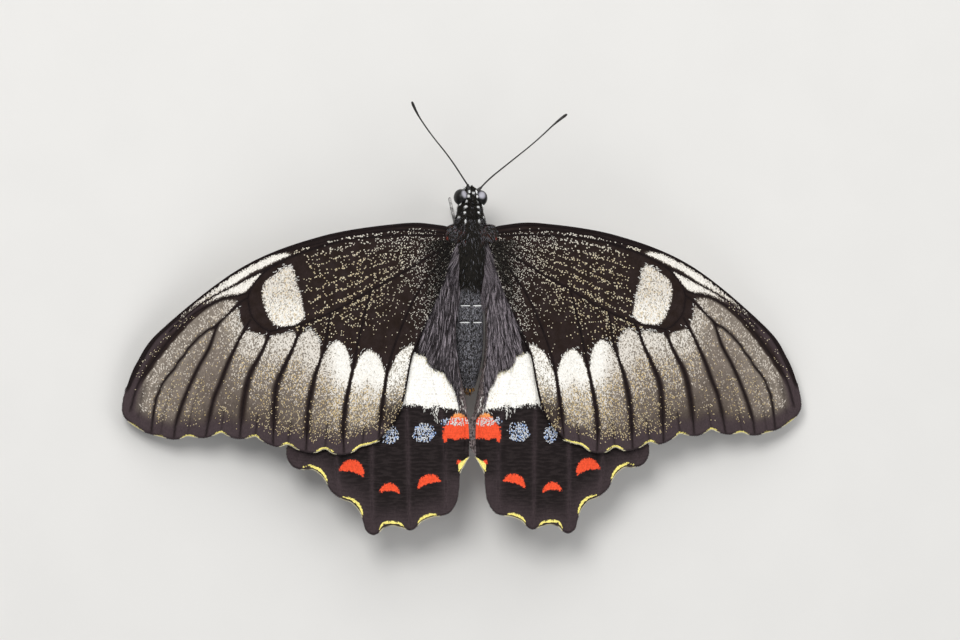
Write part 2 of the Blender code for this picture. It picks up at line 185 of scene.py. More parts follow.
RED_SPOT = [(4.9, -19.4), (4.1, -18.6), (3.4, -17.5), (2.6, -16.8), (1.6, -17.0), (0.7, -17.8), (0.2, -19.1),
            (0.2, -20.4), (0.35, -21.2), (1.6, -21.2), (2.8, -21.5), (4.0, -21.2), (4.5, -21.9), (4.9, -21.2)]
# Each red lunule: the middle of its chord, its width, its height, how far its lower edge bows up, its tilt.
LUNULES = [((21.0, -27.4), 4.4, 2.45, 0.35, 13.4), ((14.3, -30.9), 3.5, 1.85, 0.5, 1.7),
           ((7.3, -29.4), 4.2, 1.8, 0.3, -17.0)]
BLUE_SPOTS = [((14.1, -20.5), (1.75, 1.95)), ((8.3, -20.1), (2.4, 2.1)), ((4.55, -18.2), (0.95, 0.8))]
RED_FROST = ((2.3, -18.2), (2.2, 0.95))  # white scales over the red spot

# ----------------------------------------------------------------------------
# The body, the head's fittings and the legs
# ----------------------------------------------------------------------------

# Place along the axis, half width, height of the middle from the stance, half height.
BODY_STATIONS = [
    (22.9, 0.0, 0.0, 0.0), (22.3, 0.95, 0.05, 1.3), (21.3, 1.15, 0.1, 1.75), (20.2, 1.15, 0.0, 1.8),
    (19.4, 1.8, 0.0, 1.8), (18.2, 2.15, 0.05, 2.1), (16.9, 2.55, 0.2, 2.7), (15.2, 3.15, 0.1, 3.2),
    (12.8, 3.6, 0.0, 3.6), (10.0, 3.5, -0.1, 3.6), (7.5, 3.05, -0.2, 3.2), (5.3, 2.4, -0.3, 2.6),
    (3.8, 2.25, -0.4, 2.4), (0.5, 2.5, -0.6, 2.65), (-3.5, 2.6, -0.8, 2.7), (-7.2, 2.4, -1.1, 2.5),
    (-10.2, 1.85, -1.4, 1.9), (-12.4, 1.1, -1.65, 1.15), (-13.6, 0.0, -1.8, 0.0),
]
SEGMENT_LINES = (2.3, -0.7, -4.2, -7.35, -9.45, -10.7, -11.55)
COAT_DEPTH = [(-13.6, 0.1), (-12.0, 0.18), (3.6, 0.22), (5.2, 0.5), (15.5, 0.5), (16.8, 0.25), (18.0, 0.1),
              (19.6, 0.1), (20.6, 0.15), (22.9, 0.15)]

# White dots of the head and collar: distance to the side, place along, half width, half length.
HEAD_DOTS = [(0.55, 22.05, 0.11, 0.28), (0.66, 21.2, 0.14, 0.2), (0.92, 20.3, 0.17, 0.2),
             (0.98, 19.37, 0.22, 0.14), (1.1, 18.37, 0.15, 0.13), (1.15, 16.85, 0.12, 0.25),
             (2.0, 17.55, 0.17, 0.11), (2.05, 19.75, 0.18, 0.22), (0.1, 21.8, 0.04, 0.11)]
# Pale dashes on the abdomen, in the same way, and its faint pale rings: place along, how pale.
ABDOMEN_DASHES = [(1.15, 2.05, 0.85, 0.05), (1.2, -0.9, 0.85, 0.05)]
ABDOMEN_RINGS = [(-4.3, 0.08), (-7.3, 0.1), (-9.4, 0.1), (-10.7, 0.12), (-11.5, 0.15)]

NECK = np.array((0.0, 19.35, STANCE))
HEAD_TURN = np.array(Matrix.Rotation(math.radians(-3.0), 3, "Z") @ Matrix.Rotation(math.radians(6.0), 3, "Y"))

EYE_CENTRE, EYE_RADII = (1.76, 20.9, STANCE + 0.08), (1.24, 1.42, 1.52)
# Each feeler: its root, its rise, and its heading out from straight ahead, at shares of its length.
FEELER_LENGTH = 21.8
FEELER_FOOT = (0.5, 21.7, STANCE + 0.75)  # inside the head, where the stalk below the root starts
FEELERS = {
    "left": ((0.51, 22.5, STANCE + 1.25), 26.2,
             [(0, 44.0), (0.2, 42.8), (0.5, 49.3), (0.8, 43.7), (1, 31.5)]),
    "right": ((1.14, 22.3, STANCE + 1.25), 34.0,
              [(0, 30.4), (0.2, 43.3), (0.5, 43.5), (0.8, 37.4), (1, 46.8)]),
}
PALP_CENTRE, PALP_RADII = (0.75, 22.25, STANCE - 1.2), (0.3, 0.36, 0.95)
SHOULDER_CENTRE, SHOULDER_RADII = (3.1, 14.55, STANCE + 1.9), (1.5, 1.6, 1.15)
TONGUE_CENTRE = (0.0, 22.6, STANCE - 2.4)

FOOT_Z = 0.15
LEGS = {
    "mid": [(2.3, 11.0, STANCE - 3.5), (7.9, 9.6, 8.7), (11.4, 5.2, FOOT_Z), (15.6, 2.2, FOOT_Z)],
    "hind": [(2.1, 7.0, STANCE - 3.4), (6.4, 1.4, 8.5), (8.8, -5.6, FOOT_Z), (11.8, -11.4, FOOT_Z)],
}
# The forelegs differ: the left one reaches ahead, with its shin and foot below the thigh.
FORELEGS = {
    "left": [(1.9, 14.9, STANCE - 3.0), (3.25, 20.8, 8.8), (1.6, 18.9, FOOT_Z), (0.6, 14.7, FOOT_Z)],
    "right": [(1.5, 14.4, STANCE - 3.2), (4.3, 14.9, 8.4), (6.2, 12.6, FOOT_Z), (8.9, 9.2, FOOT_Z)],
}

# Radii of the feelers, of the stalks below them and of each length of a leg, at shares of its length.
FEELER_RADII = [(0, 0.2), (0.015, 0.24), (0.025, 0.15), (0.6, 0.12), (0.82, 0.14), (0.92, 0.23), (0.97, 0.27),
                (0.99, 0.23), (1, 0.12)]
STALK_RADII = [(0, 0.34), (0.7, 0.3), (1, 0.2)]
THIGH_RADII = [(0, 0.26), (0.35, 0.27), (0.85, 0.22), (1, 0.2)]
SHIN_RADII = [(0, 0.2), (0.06, 0.26), (0.7, 0.2), (0.93, 0.24), (1, 0.14)]
COXA_RADII = [(0, 0.6), (0.5, 0.55), (0.85, 0.42), (1, 0.2)]
TARSUS_RADII = [(0, 0.1), (0.15, 0.12), (0.8, 0.155), (1, 0.09)]
TARSUS_LENGTHS = (0.38, 0.2, 0.15, 0.12, 0.15)  # shares of the tarsus

FRINGE_SCALES = 2200  # along each wing's outer edge
SHOULDER_HAIRS, PALP_HAIRS, TAIL_HAIRS, FLANK_HAIRS, WING_ROOT_HAIRS = 3600, 1100, 260, 3000, 2600
SHIN_SPINES = 26
LIGHT_HAIRS = {"left": 0.32, "right": 0.55}  # the share of the long hairs that are light
PLEAT = 0.16  # how far the wing sinks between its veins

# Each lamp: its place, its width and its power.
LAMPS = {"key": ((-0.3, 0.35, 0.8), 0.4, 4.4), "front": ((0.0, 0.72, 0.62), 0.95, 4.0),
         "fill": ((0.55, 0.0, 0.6), 0.6, 1.6), "low": ((0.0, -0.6, 0.35), 0.5, 0.8)}
# The camera looks down from above, leaning to the left about a point at the height of the body.
CAMERA_AIM, CAMERA_LEAN, CAMERA_PLACE = (0, 0, 0.0125), -8.5, (0.001575, -0.000525, 1.4)

# ----------------------------------------------------------------------------
# Settings
# ----------------------------------------------------------------------------

def linear(*values):
    """A screen colour, in steps of 1/255, as a linear one."""
    shares = [value / 255 for value in values]
    return [s / 12.92 if s <= 0.04045 else ((s + 0.055) / 1.055) ** 2.4 for s in shares]


def colour(name, description, *screen):
    return FloatVectorProperty(name=name, description=description, subtype="COLOR", size=4, min=0, max=1,
                               default=(*linear(*screen), 1))


def size(name, description, default):
    return FloatProperty(name=name, description=description, default=default * MM, min=0.0, unit="LENGTH")


def number(name, description, default):
    return IntProperty(name=name, description=description, default=default, min=100)


class ButterflyWings(bpy.types.PropertyGroup):
    membrane: size("Membrane", "Thickness of the wing between its veins", 0.14)
    pleat: size("Pleat", "How far the wing sinks between its veins", PLEAT)
    vein: size("Vein", "Radius of a vein at the hinge", 0.2)
    vein_end: size("Vein end", "Radius of a vein at the outer edge", 0.1)
    scale: size("Scale", "Size of one wing scale in the fine mosaic", 0.17)
    speckle: size("Speckle", "Length of one loose pale scale", 0.23)
    fringe: size("Fringe", "Length of the fringe along the outer edge", 0.3)


class ButterflyCoat(bpy.types.PropertyGroup):
    head: size("Head fur", "Length of the fur on head and collar", 0.5)
    thorax: size("Thorax fur", "Length of the fur on the thorax", 1.1)
    abdomen: size("Abdomen fur", "Length of the scales on the abdomen", 0.36)
    long_hair: size("Long hair", "Length of the hair over the hindwing's root", 3.4)
    head_hairs: number("Head hairs", "Hairs on head and collar", 13000)
    hairs: number("Hairs", "Hairs on the thorax", 17400)
    scales: number("Scales", "Scales on the abdomen", 12500)
    long_hairs: number("Long hairs", "Long hairs on each hindwing", 6200)


class ButterflyColours(bpy.types.PropertyGroup):
    brown: colour("Brown", "Dark scales of the forewing", 35, 24, 19)
    vein: colour("Vein", "Veins and front edge of the forewing", 27, 19, 19)
    # The dark outer border; its purplish tint is a painted sheen.
    border: colour("Border", "Outer border of both wings", 68, 57, 59)
    film: colour("Film", "Thinly scaled grey of the forewing's outer half", 126, 113, 103)
    film_pale: colour("Film, pale", "The same beside the white tops", 188, 180, 163)
    grey: colour("Grey", "Pale scales furthest from the white tops", 186, 173, 157)
    white: colour("White", "Whitest scales", 255, 252, 244)
    cream: colour("Cream", "Loose pale scales", 255, 244, 214)
    gold: colour("Gold", "Loose golden scales", 206, 180, 128)
    black: colour("Black", "Ground of the hindwing", 29, 23, 23)
    fold: colour("Fold", "Inner margins of the hindwings", 128, 116, 114)
    # Painted light on the ridges: the colour of the ripples' crests; also the darker grey of the folded inner
    # margins.
    ripple: colour("Ripple", "Crests of the hindwing's ripples", 42, 35, 35)
    red: colour("Red", "Lunules and inner spot", 240, 84, 50)
    yellow: colour("Yellow", "Marks along the scalloped edges", 250, 234, 130)
    blue: colour("Blue", "Scales of the blue spots", 158, 196, 255)
    fur_dark: colour("Fur, dark", "Roots of the body's fur", 18, 15, 14)
    fur_light: colour("Fur, light", "Tips of the body's fur", 92, 87, 76)
    abdomen: colour("Abdomen", "Scales of the abdomen", 168, 166, 172)
    hair_dark: colour("Hair, dark", "Shaded long hair", 34, 28, 29)
    hair_light: colour("Hair, light", "Bright long hair", 236, 222, 230)
    frost: colour("Frost", "Pale flecks in the body's coat", 196, 196, 206)
    dot: colour("Dot", "White dots of head and collar", 252, 252, 250)
    eye: colour("Eye", "Compound eyes", 8, 7, 8)
    # The eyes' painted highlight: a pale zone painted where each eye faces a bright sky.
    painted_highlight: colour("Shine", "Pale zone of the eyes", 200, 198, 208)
    ochre: colour("Ochre", "Tufts at the abdomen's end", 206, 146, 60)
    horn: colour("Horn", "Feelers, legs and tongue", 15, 12, 12)
    # Pale scales on legs and feelers; the same colour is the painted highlight on the forelegs' thighs.
    leg_dust_and_highlight: colour("Leg dust", "Pale scales on the legs", 214, 211, 207)
    floor: colour("Floor", "Studio floor", 222, 220, 216)


# ----------------------------------------------------------------------------
# Lines and areas
# ----------------------------------------------------------------------------

def unit(vectors):
    return vectors / np.maximum(np.linalg.norm(vectors, axis=-1, keepdims=True), 1e-12)


def ramp(values, low, high):
    """0 up to low, 1 from high on, and smooth between."""
    share = np.clip((values - low) / (high - low), 0, 1)
    return share * share * (3 - 2 * share)


def between(table, values):
    """Reads a table of (value, result) pairs."""
    places, results = np.array(table).T
    return np.interp(values, places, results)


def bell(values, width):
    """1 at zero, and close to 0 from twice the width on."""
    return np.exp(-((values / width) ** 2))


def smooth_line(points, shares):
    """Places at these shares of a smooth curve through the points, which count as evenly spaced along it."""
    points = np.asarray(points, float)
    last = len(points) - 1
    at = np.clip(shares, 0, 1) * last
    i = np.minimum(at.astype(int), last - 1)
    t = (at - i)[:, None]
    padded = np.vstack([2 * points[0] - points[1], points, 2 * points[-1] - points[-2]])
    before, a, b, after = (padded[i + k] for k in range(4))
    leaving, arriving = (b - before) / 2, (after - a) / 2
    ends = a * (2 * t**3 - 3 * t**2 + 1) + b * (3 * t**2 - 2 * t**3)
    return ends + leaving * (t**3 - 2 * t**2 + t) + arriving * (t**3 - t**2)


def even_line(points, shares, steps=200):
    """The same, with shares of the curve's length."""
    line = smooth_line(points, np.linspace(0, 1, steps + 1))
    run = np.concatenate([[0], np.cumsum(np.linalg.norm(np.diff(line, axis=0), axis=1))])
    return np.stack([np.interp(np.asarray(shares) * run[-1], run, column) for column in line.T], 1)


def distance(places, line):
    """How far each place on the plan is from a line of straight lengths."""
    nearest = np.full(len(places), np.inf)
    for a, b in zip(line, line[1:]):
        along = b - a
        share = np.clip((places - a) @ along / (along @ along), 0, 1)
        nearest = np.minimum(nearest, np.hypot(*(places - a - share[:, None] * along).T))
    return nearest


def enclosed(places, ring):
    """True for the places inside a closed ring of straight lengths."""
    inside = np.zeros(len(places), bool)
    x, y = places.T
    for (ax, ay), (bx, by) in zip(ring, np.roll(ring, -1, axis=0)):
        if ay != by:
            inside ^= ((ay > y) != (by > y)) & (x < (bx - ax) * (y - ay) / (by - ay) + ax)
    return inside


def depth_in(places, outline):
    """How far each place is inside a smooth closed outline: below zero outside it."""
    ring = smooth_line(outline + outline[:1], np.linspace(0, 1, 8 * len(outline) + 1))
    return np.where(enclosed(places, ring), 1, -1) * distance(places, ring)


def soft_least(a, b, reach):
    """The smaller of two fields, with the corner between them rounded."""
    share = np.clip(0.5 + 0.5 * (b - a) / reach, 0, 1)
    return b * (1 - share) + a * share - reach * share * (1 - share)


# ----------------------------------------------------------------------------
# The wings' form
# ----------------------------------------------------------------------------

def outer_line(wing, shares):
    return smooth_line(wing["outer"], shares)


def laid_flat(wing, out, across):
    """Fills the wing between its edges: out from hinge to outer edge, across from front to rear."""
    o, c = out[:, None], across[:, None]
    front, inner = even_line(wing["front"], out), even_line(wing["inner"], out)
    straight = np.array(wing["front"][-1]) * (1 - c) + np.array(wing["inner"][-1]) * c
    return front * (1 - c) + inner * c + (outer_line(wing, across) - straight) * o


def vein_lines(wing):
    return {name: even_line(points, np.linspace(0, 1, 40)) for name, points in wing["veins"].items()}


def vein_distance(wing, flat):
    return np.min([distance(flat, line) for line in vein_lines(wing).values()], axis=0)


def sag(wing, flat, pleat, veins=None):
    """How far the pleated wing lies above its middle plane."""
    veins = vein_distance(wing, flat) if veins is None else veins
    return pleat * (1.1 * bell(veins, 0.9) - 0.55)


def spread(wing, side, flat, lift=0.0):
    """Places on the flat plan, moved to where the spread wing has them, and lifted off its middle plane."""
    turn = SWEEP[side]
    x, y = (flat - HINGE).T
    reach, y = x * math.cos(turn) - y * math.sin(turn), x * math.sin(turn) + y * math.cos(turn)
    gain = (TIP_SLOPE - HINGE_SLOPE) / TIP_REACH * reach
    fall = reach * (HINGE_SLOPE + gain / 2)
    loss = reach * (HINGE_SLOPE**2 + HINGE_SLOPE * gain + gain**2 / 3) / 2
    slope = HINGE_SLOPE + gain
    tilt = np.hypot(1, slope)
    x = HINGE[0] + reach - loss + lift * slope / tilt
    return np.stack([SIDES[side] * x, HINGE[1] + y, STANCE + wing["height"] - fall + lift / tilt], 1)


def wing_axes(wing, side, flat, heading):
    """The heading on the plan as a direction in space, and the wing's upward normal."""
    ahead = unit(spread(wing, side, flat + 0.1 * heading) - spread(wing, side, flat))
    up = unit(spread(wing, side, flat, 1.0) - spread(wing, side, flat))
    return ahead, up


# ----------------------------------------------------------------------------
# The wings' pattern
# ----------------------------------------------------------------------------

FAR_OUTSIDE = -9.0  # the value of a mark's field where there is no mark


def yellow_field(wing, flat):
    """The yellow marks in the notches: above zero within one, thickest in its middle."""
    field = np.full(len(flat), FAR_OUTSIDE)
    for mark in wing["yellow"]:
        line = even_line(mark, np.linspace(0, 1, 12))
        width = wing["yellow_width"] * (0.45 + 0.55 * np.sin(math.pi * np.linspace(0.04, 0.96, 11)))
        for a, b, half in zip(line, line[1:], width):
            field = np.maximum(field, half - distance(flat, np.array([a, b])))
    return field


def edge_distance(wing, flat):
    return distance(flat, outer_line(wing, np.linspace(0, 1, 160)))


def side_distance(wing, edge, flat):
    """How far each place is from the wing's front or inner edge."""
    return distance(flat, even_line(wing[edge], np.linspace(0, 1, 60)))


def fold_distance(wing, flat):
    return np.min([distance(flat, np.array(line)) for line in wing["folds"]], axis=0)


def forewing_pattern(flat):
    """Masks and fields of the forewing's pattern: see wing_scales for what each one does."""
    x, y = flat.T
    veins, rim = vein_distance(FOREWING, flat), edge_distance(FOREWING, flat)
    folds = fold_distance(FOREWING, flat)
    front, inner = side_distance(FOREWING, "front", flat), side_distance(FOREWING, "inner", flat)
    apex = ramp(x, 37.5, 46.0)
    inside = depth_in(flat, PALE_SPACES)
    outer = ramp(inside, 2.0, 9.0)
    band = (0.2 + 0.1 * outer) * (1 - apex) + 0.1 * apex
    edge = soft_least(inside, veins - band, 1.1 - 0.8 * apex)
    space = ramp(edge, 0.0, 0.25 + 0.5 * outer)
    rear_cover = between([(0, 0.95), (2.5, 0.9), (5.5, 0.66), (9, 0.4), (12, 0.18), (15, 0.08)], inside)
    apex_cover = between([(0, 0.4), (2, 0.24), (5, 0.14), (12, 0.1)], inside)
    near, far = ramp(x, 23.2, 26.2), ramp(x, 30.0, 36.0)
    rear_cover = rear_cover * (1 - 0.3 * (1 - ramp(x, 13.5, 16.0)) - 0.25 * near - 0.12 * far)
    space = space * (1 - 0.9 * ramp(-y, 12.0, 17.0) * (1 - ramp(x, 15.5, 16.3))) * ramp(inner, 0.25, 0.5)
    cover = space * (rear_cover * (1 - apex) + apex_cover * apex * (0.3 + 0.7 * ramp(front, 2.0, 5.0)))
    cover = cover * ramp(rim, 1.8, 4.0)
    white = between([(0, 0.85), (2.5, 0.85), (5, 0.55), (9, 0.3), (14, 0.1)], inside)
    white = white * (1 - 0.45 * apex) * (1 - 0.45 * near)
    film = space * between([(0, 0.95), (4, 0.9), (9, 0.8), (14, 0.5)], inside) * ramp(rim, 1.5, 4.5)
    # The pale streaks behind the front edge, whiter towards the body: pale scales and a painted sheen.
    streak = np.maximum(*(depth_in(flat, outline) for outline in PALE_STREAKS_AND_SHEEN))
    streak = ramp(soft_least(streak, veins - 0.1, 0.1), -0.06, 0.25)
    full = 1 - ramp(x, 42.0, 51.0)
    cover = np.maximum(cover, streak * (0.4 + 0.53 * full))
    white = np.maximum(white, streak * (0.3 + 0.4 * full))
    film = np.maximum(film, 0.8 * streak)
    patch = depth_in(flat, CELL_PATCH)
    lit = ramp(-y, -4.5, -0.5)
    cover = np.maximum(cover, ramp(patch, -0.15, 0.35) * (0.72 + 0.1 * lit))
    white = np.maximum(white, ramp(patch, -0.2, 0.2) * (0.5 + 0.25 * lit))
    film = np.maximum(film, ramp(patch, -0.1, 0.5))
    # The border colour also runs as a band behind the front edge towards the tip: dark scales under a
    # purplish painted sheen.
    border = np.maximum(1 - ramp(rim, 1.6, 4.0), ramp(x, 34.0, 46.0) * (1 - ramp(front, 1.0, 2.2)))
    dark = np.maximum(bell(veins, 0.22), 0.7 * bell(folds, 0.2) * (1 - 0.5 * apex))
    dark = np.maximum.reduce([dark, 1 - ramp(front, 0.5, 0.95), 1 - ramp(inner, 0.25, 0.45)])
    warm = np.maximum.reduce([ramp(inside, 1.5, 7.0), 0.6 * ramp(patch, -0.2, 0.2),
                              0.8 * apex * ramp(inside, 0.5, 3.0)])
    return {"cover": cover, "white": white, "film": film, "border": border, "warm": warm,
            "red": np.full(len(flat), FAR_OUTSIDE), "yellow": yellow_field(FOREWING, flat),
            "strip": np.zeros(len(flat)),
            "vein": dark}


def lunule_field(flat):
    """The red lunules: above zero within one."""
    field = np.full(len(flat), FAR_OUTSIDE)
    for centre, width, height, bow, tilt in LUNULES:
        turn = math.radians(tilt)
        x, y = (flat - centre).T
        u, w = x * math.cos(turn) + y * math.sin(turn), y * math.cos(turn) - x * math.sin(turn)
        arch = (1 - np.hypot(2 * u / width, np.maximum(w, 0) / height)) * height
        field = np.maximum(field, np.minimum(arch, w - bow * (1 - (2 * u / width) ** 2)))
    return field


def hindwing_pattern(flat):
    """The same for the hindwing."""
    x, y = flat.T
    veins, rim = vein_distance(HINDWING, flat), edge_distance(HINDWING, flat)
    inner = side_distance(HINDWING, "inner", flat)
    red = np.maximum.reduce([depth_in(flat, RED_SPOT), lunule_field(flat),
                             0.36 - np.hypot(x - 2.2, y + 25.4)])
    streak = 0.7 * bell(x - 6.2, 0.35) * ramp(y, -17.8, -15.4) * (y < -14.0)
    strip = (1 - ramp(inner, 0.7, 1.3)) * ramp(-y, 2.0, 6.0) * ramp(y, -17.6, -16.4)
    corner = 1 - (1 - ramp(x, 3.0, 5.5)) * ramp(y, -29.5, -26.5)
    cover = np.maximum(ramp(depth_in(flat, WHITE_PATCH), -0.25, 0.3), streak) * (1 - strip)
    plain = np.zeros(len(flat))
    return {"cover": cover, "white": plain + 1, "film": plain,
            "border": 0.7 * (1 - ramp(rim, 0.4, 4.5)) * ramp(-y, 14.0, 24.0) * corner,
            "warm": 0.45 * ramp(y, -17.9, -17.2) * (x < 5), "red": red,
            "yellow": yellow_field(HINDWING, flat), "strip": strip,
            "vein": 0.6 * bell(veins, 0.4) * ramp(-y, 15.0, 18.0) * corner}


FOREWING["pattern"], HINDWING["pattern"] = forewing_pattern, hindwing_pattern


# ----------------------------------------------------------------------------
# The body's form
# ----------------------------------------------------------------------------

BODY_PROFILE = smooth_line(BODY_STATIONS, np.linspace(0, 1, 700))[::-1]


def turn_head(places):
    """The head is turned a little on its neck."""
    share = ramp(places[:, 1], 18.9, 19.8)[:, None]
    return places + share * ((places - NECK) @ HEAD_TURN.T + NECK - places)


def body_surface(along, angle, depth=0.0):
    """Places on the body, so deep under its outer form. The angle is 0 at the right and a quarter on top."""
    half, middle, tall = (np.interp(along, BODY_PROFILE[:, 0], BODY_PROFILE[:, k]) for k in (1, 2, 3))
    x = np.maximum(half - depth, 0) * np.cos(angle)
    z = STANCE + middle + np.maximum(tall - depth, 0) * np.sin(angle)
    return turn_head(np.stack([x, along, z], 1))


def body_normal(along, angle):
    small = 0.01
    back = body_surface(along - small, angle) - body_surface(along + small, angle)
    round_ = body_surface(along, angle + small) - body_surface(along, angle - small)
    return unit(np.cross(back, -round_))


def spots(places, table):
    """A mask of oval spots on both sides of the middle, seen from above."""
    mask = np.zeros(len(places))
    for x, y, half_x, half_y in table:
        mask = np.maximum(mask, 1 - np.hypot((np.abs(places[:, 0]) - x) / half_x,
                                             (places[:, 1] - y) / half_y))
    return mask


def body_marks(along, angle):
    """How white the coat is: the dots of head and collar, and the abdomen's dashes and underside."""
    half = np.interp(along, BODY_PROFILE[:, 0], BODY_PROFILE[:, 1])
    plain = np.stack([half * np.cos(angle), along], 1)
    marks = np.maximum(ramp(spots(plain, HEAD_DOTS), 0.1, 0.4),
                       ramp(spots(plain, ABDOMEN_DASHES), 0.0, 0.3) * 0.8)
    below = ramp(-np.sin(angle), 0.1, 0.6) * ramp(-along, -4.9, -4.0)
    return np.clip(marks * (np.sin(angle) > 0) + 0.7 * below, 0, 1)


# ----------------------------------------------------------------------------
# Making meshes
# ----------------------------------------------------------------------------

def read_array(items, name, width, kind):
    values = np.empty(len(items) * width, kind)
    items.foreach_get(name, values)
    return values.reshape(-1, width) if width > 1 else values


def form_of(bm):
    """A bmesh as arrays: its places, its faces' corners one after another, and where each face starts."""
    mesh = bpy.data.meshes.new("form")
    bm.to_mesh(mesh)
    bm.free()
    form = (read_array(mesh.vertices, "co", 3, np.float32),
            read_array(mesh.loops, "vertex_index", 1, np.int32),
            read_array(mesh.polygons, "loop_start", 1, np.int32))
    bpy.data.meshes.remove(mesh)
    return form


def column(radii, sides):
    """A closed column up +X, from 0 to 1: a ring of each radius, and a point where the last one is 0."""
    bm = bmesh.new()
    bmesh.ops.create_circle(bm, cap_ends=True, segments=sides, radius=radii[0])
    top = bm.faces[:]
    bm.faces.ensure_lookup_table()
    for i, (below, radius) in enumerate(zip(radii, radii[1:])):
        made = bmesh.ops.extrude_face_region(bm, geom=top, use_keep_orig=i == 0)
        corners = [item for item in made["geom"] if isinstance(item, bmesh.types.BMVert)]
        top = [item for item in made["geom"] if isinstance(item, bmesh.types.BMFace)]
        bmesh.ops.translate(bm, verts=corners, vec=(0, 0, 1 / (len(radii) - 1)))
        grow = max(radius, 1e-4) / below
        bmesh.ops.scale(bm, verts=corners, vec=(grow, grow, 1))
    if radii[-1] == 0:
        bmesh.ops.remove_doubles(bm, verts=bm.verts, dist=1e-3)
    bmesh.ops.rotate(bm, verts=bm.verts, matrix=Matrix.Rotation(math.pi / 2, 3, "Y"))
    bmesh.ops.recalc_face_normals(bm, faces=bm.faces)
    return form_of(bm)


def copies(form, roots, along, up, length, width, height, bend=0.0):
    """Places of one copy of the form at each root, lying along its own direction, and bent up or down."""
    along, up = unit(along), unit(up)
    side = unit(np.cross(up, along))
    up = np.cross(along, side)
    a, b, c = form[0].T[:, None, :, None]
    length, width, height, bend = (np.broadcast_to(v, len(roots))[:, None, None]
                                   for v in (length, width, height, bend))
    middle = roots[:, None] + length * (a * along[:, None] + bend * a**2 * up[:, None])
    return middle + width * b * side[:, None] + height * c * up[:, None]


def along_path(form, path, radii, up=(0, 0, 1)):
    """Places of a column's rings, bent along a path with a radius at each ring."""
    path, rings = np.asarray(path, float), len(path)
    ahead = unit(np.gradient(path, axis=0))
    side = unit(np.cross(np.broadcast_to(np.asarray(up, float), ahead.shape), ahead))
    above = np.cross(ahead, side)
    ring = np.rint(form[0][:, 0] * (rings - 1)).astype(int)
    radius = np.broadcast_to(radii, rings)[ring, None]
    return path[ring] + radius * (form[0][:, 1:2] * side[ring] + form[0][:, 2:3] * above[ring])


def copies_in(form, places):
    return places.size // (3 * len(form[0]))


def piece(name, batches, paint, replaced=(), values=None, roots=None):
    """One object of many copies. batches are (form, places of its copies), values one number for each copy,
    or for each corner, of each attribute, and roots where each copy stands on the unwrapped skin."""
    points, loops, starts, corners, faces = [], [], [], 0, 0
    for form, places in batches:
        places = places.reshape(-1, len(form[0]), 3)
        steps = np.arange(len(places))[:, None]
        points.append(places.reshape(-1, 3))
        loops.append((form[1] + corners + steps * len(form[0])).reshape(-1))
        starts.append((form[2] + faces + steps * len(form[1])).reshape(-1))
        corners += places.shape[0] * places.shape[1]
        faces += len(places) * len(form[1])
    points, loops, starts = np.concatenate(points), np.concatenate(loops), np.concatenate(starts)
    mesh = bpy.data.meshes.new(name)
    mesh.vertices.add(len(points))
    mesh.vertices.foreach_set("co", (points * MM).astype(np.float32).reshape(-1))
    mesh.loops.add(len(loops))
    mesh.loops.foreach_set("vertex_index", loops.astype(np.int32))
    mesh.polygons.add(len(starts))
    mesh.polygons.foreach_set("loop_start", starts.astype(np.int32))
    mesh.update(calc_edges=True)
    for label, numbers in (values or {}).items():
        each = [np.broadcast_to(found[:, None] if found.ndim == 1 else found,
                                (copies_in(form, places), len(form[0]))).reshape(-1)
                for found, (form, places) in zip(numbers, batches)]
        layer = mesh.attributes.new(label, "FLOAT", "POINT")
        layer.data.foreach_set("value", np.concatenate(each).astype(np.float32))
    if roots is not None:
        patches = np.concatenate([
            (root[:, None] + PATCH * (form[0][None, :, :2] - (0.5, 0.0))).reshape(-1, 2)
            for root, (form, places) in zip(roots, batches)])
        layer = mesh.uv_layers.new(name="OFBake")
        layer.data.foreach_set("uv", patches[loops].astype(np.float32).reshape(-1))
    return shown(name, mesh, paint, replaced)


def shown(name, mesh, paint, replaced=()):
    """Puts a mesh in the scene as a piece of the butterfly."""
    mesh.shade_smooth()
    mesh.materials.append(paint)
    made = bpy.data.objects.new(name, mesh)
    bpy.context.scene.collection.objects.link(made)
    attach(made, "root")
    if replaced:
        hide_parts(*replaced)
    return made


def coat_piece(name, batches, labels, paint, roots, replaced=()):
    """One piece of fur or scales from batches, each with its own attributes: 0 where it lacks one."""
    names = sorted(set().union(*labels))
    values = {label: [found.get(label, np.zeros(copies_in(*batch))) for found, batch in zip(labels, batches)]
              for label in names}
    return piece(name, batches, paint, replaced, values, roots)


def seeded(number, side):
    """The random numbers of one kind of piece, with others for each side."""
    return np.random.default_rng(number + (side == "right"))


# ----------------------------------------------------------------------------
# Materials
# ----------------------------------------------------------------------------

def node(tree, kind, inputs=None, **choices):
    """A node with its choices made and its inputs set, or wired where a socket is given."""
    made = tree.nodes.new("ShaderNode" + kind)
    for name, value in choices.items():
        setattr(made, name, value)
    for key, value in (inputs or {}).items():
        if isinstance(value, bpy.types.NodeSocket):
            tree.links.new(value, made.inputs[key])
        else:
            made.inputs[key].default_value = value
    return made


def calc(tree, operation, *values):
    return node(tree, "Math", dict(enumerate(values)), operation=operation).outputs[0]


def mix(tree, share, a, b, how="MIX"):
    return node(tree, "Mix", {0: share, 6: a, 7: b}, data_type="RGBA", blend_type=how).outputs[2]


def step(tree, value, low, high):
    sockets = {"Value": value, "From Min": low, "From Max": high}
    return node(tree, "MapRange", sockets, interpolation_type="SMOOTHSTEP").outputs[0]


def attribute(tree, name):
    return node(tree, "Attribute", attribute_name=name).outputs["Fac"]


def tinted(tree, base, colours):
    """Lays colours over a base one after another, each as strongly as the attribute of that name says."""
    for name, tint in colours.items():
        base = mix(tree, attribute(tree, name), base, tint)
    return base


def stretched(tree, vector, *amounts):
    return node(tree, "VectorMath", {0: vector, 1: amounts}, operation="MULTIPLY").outputs[0]


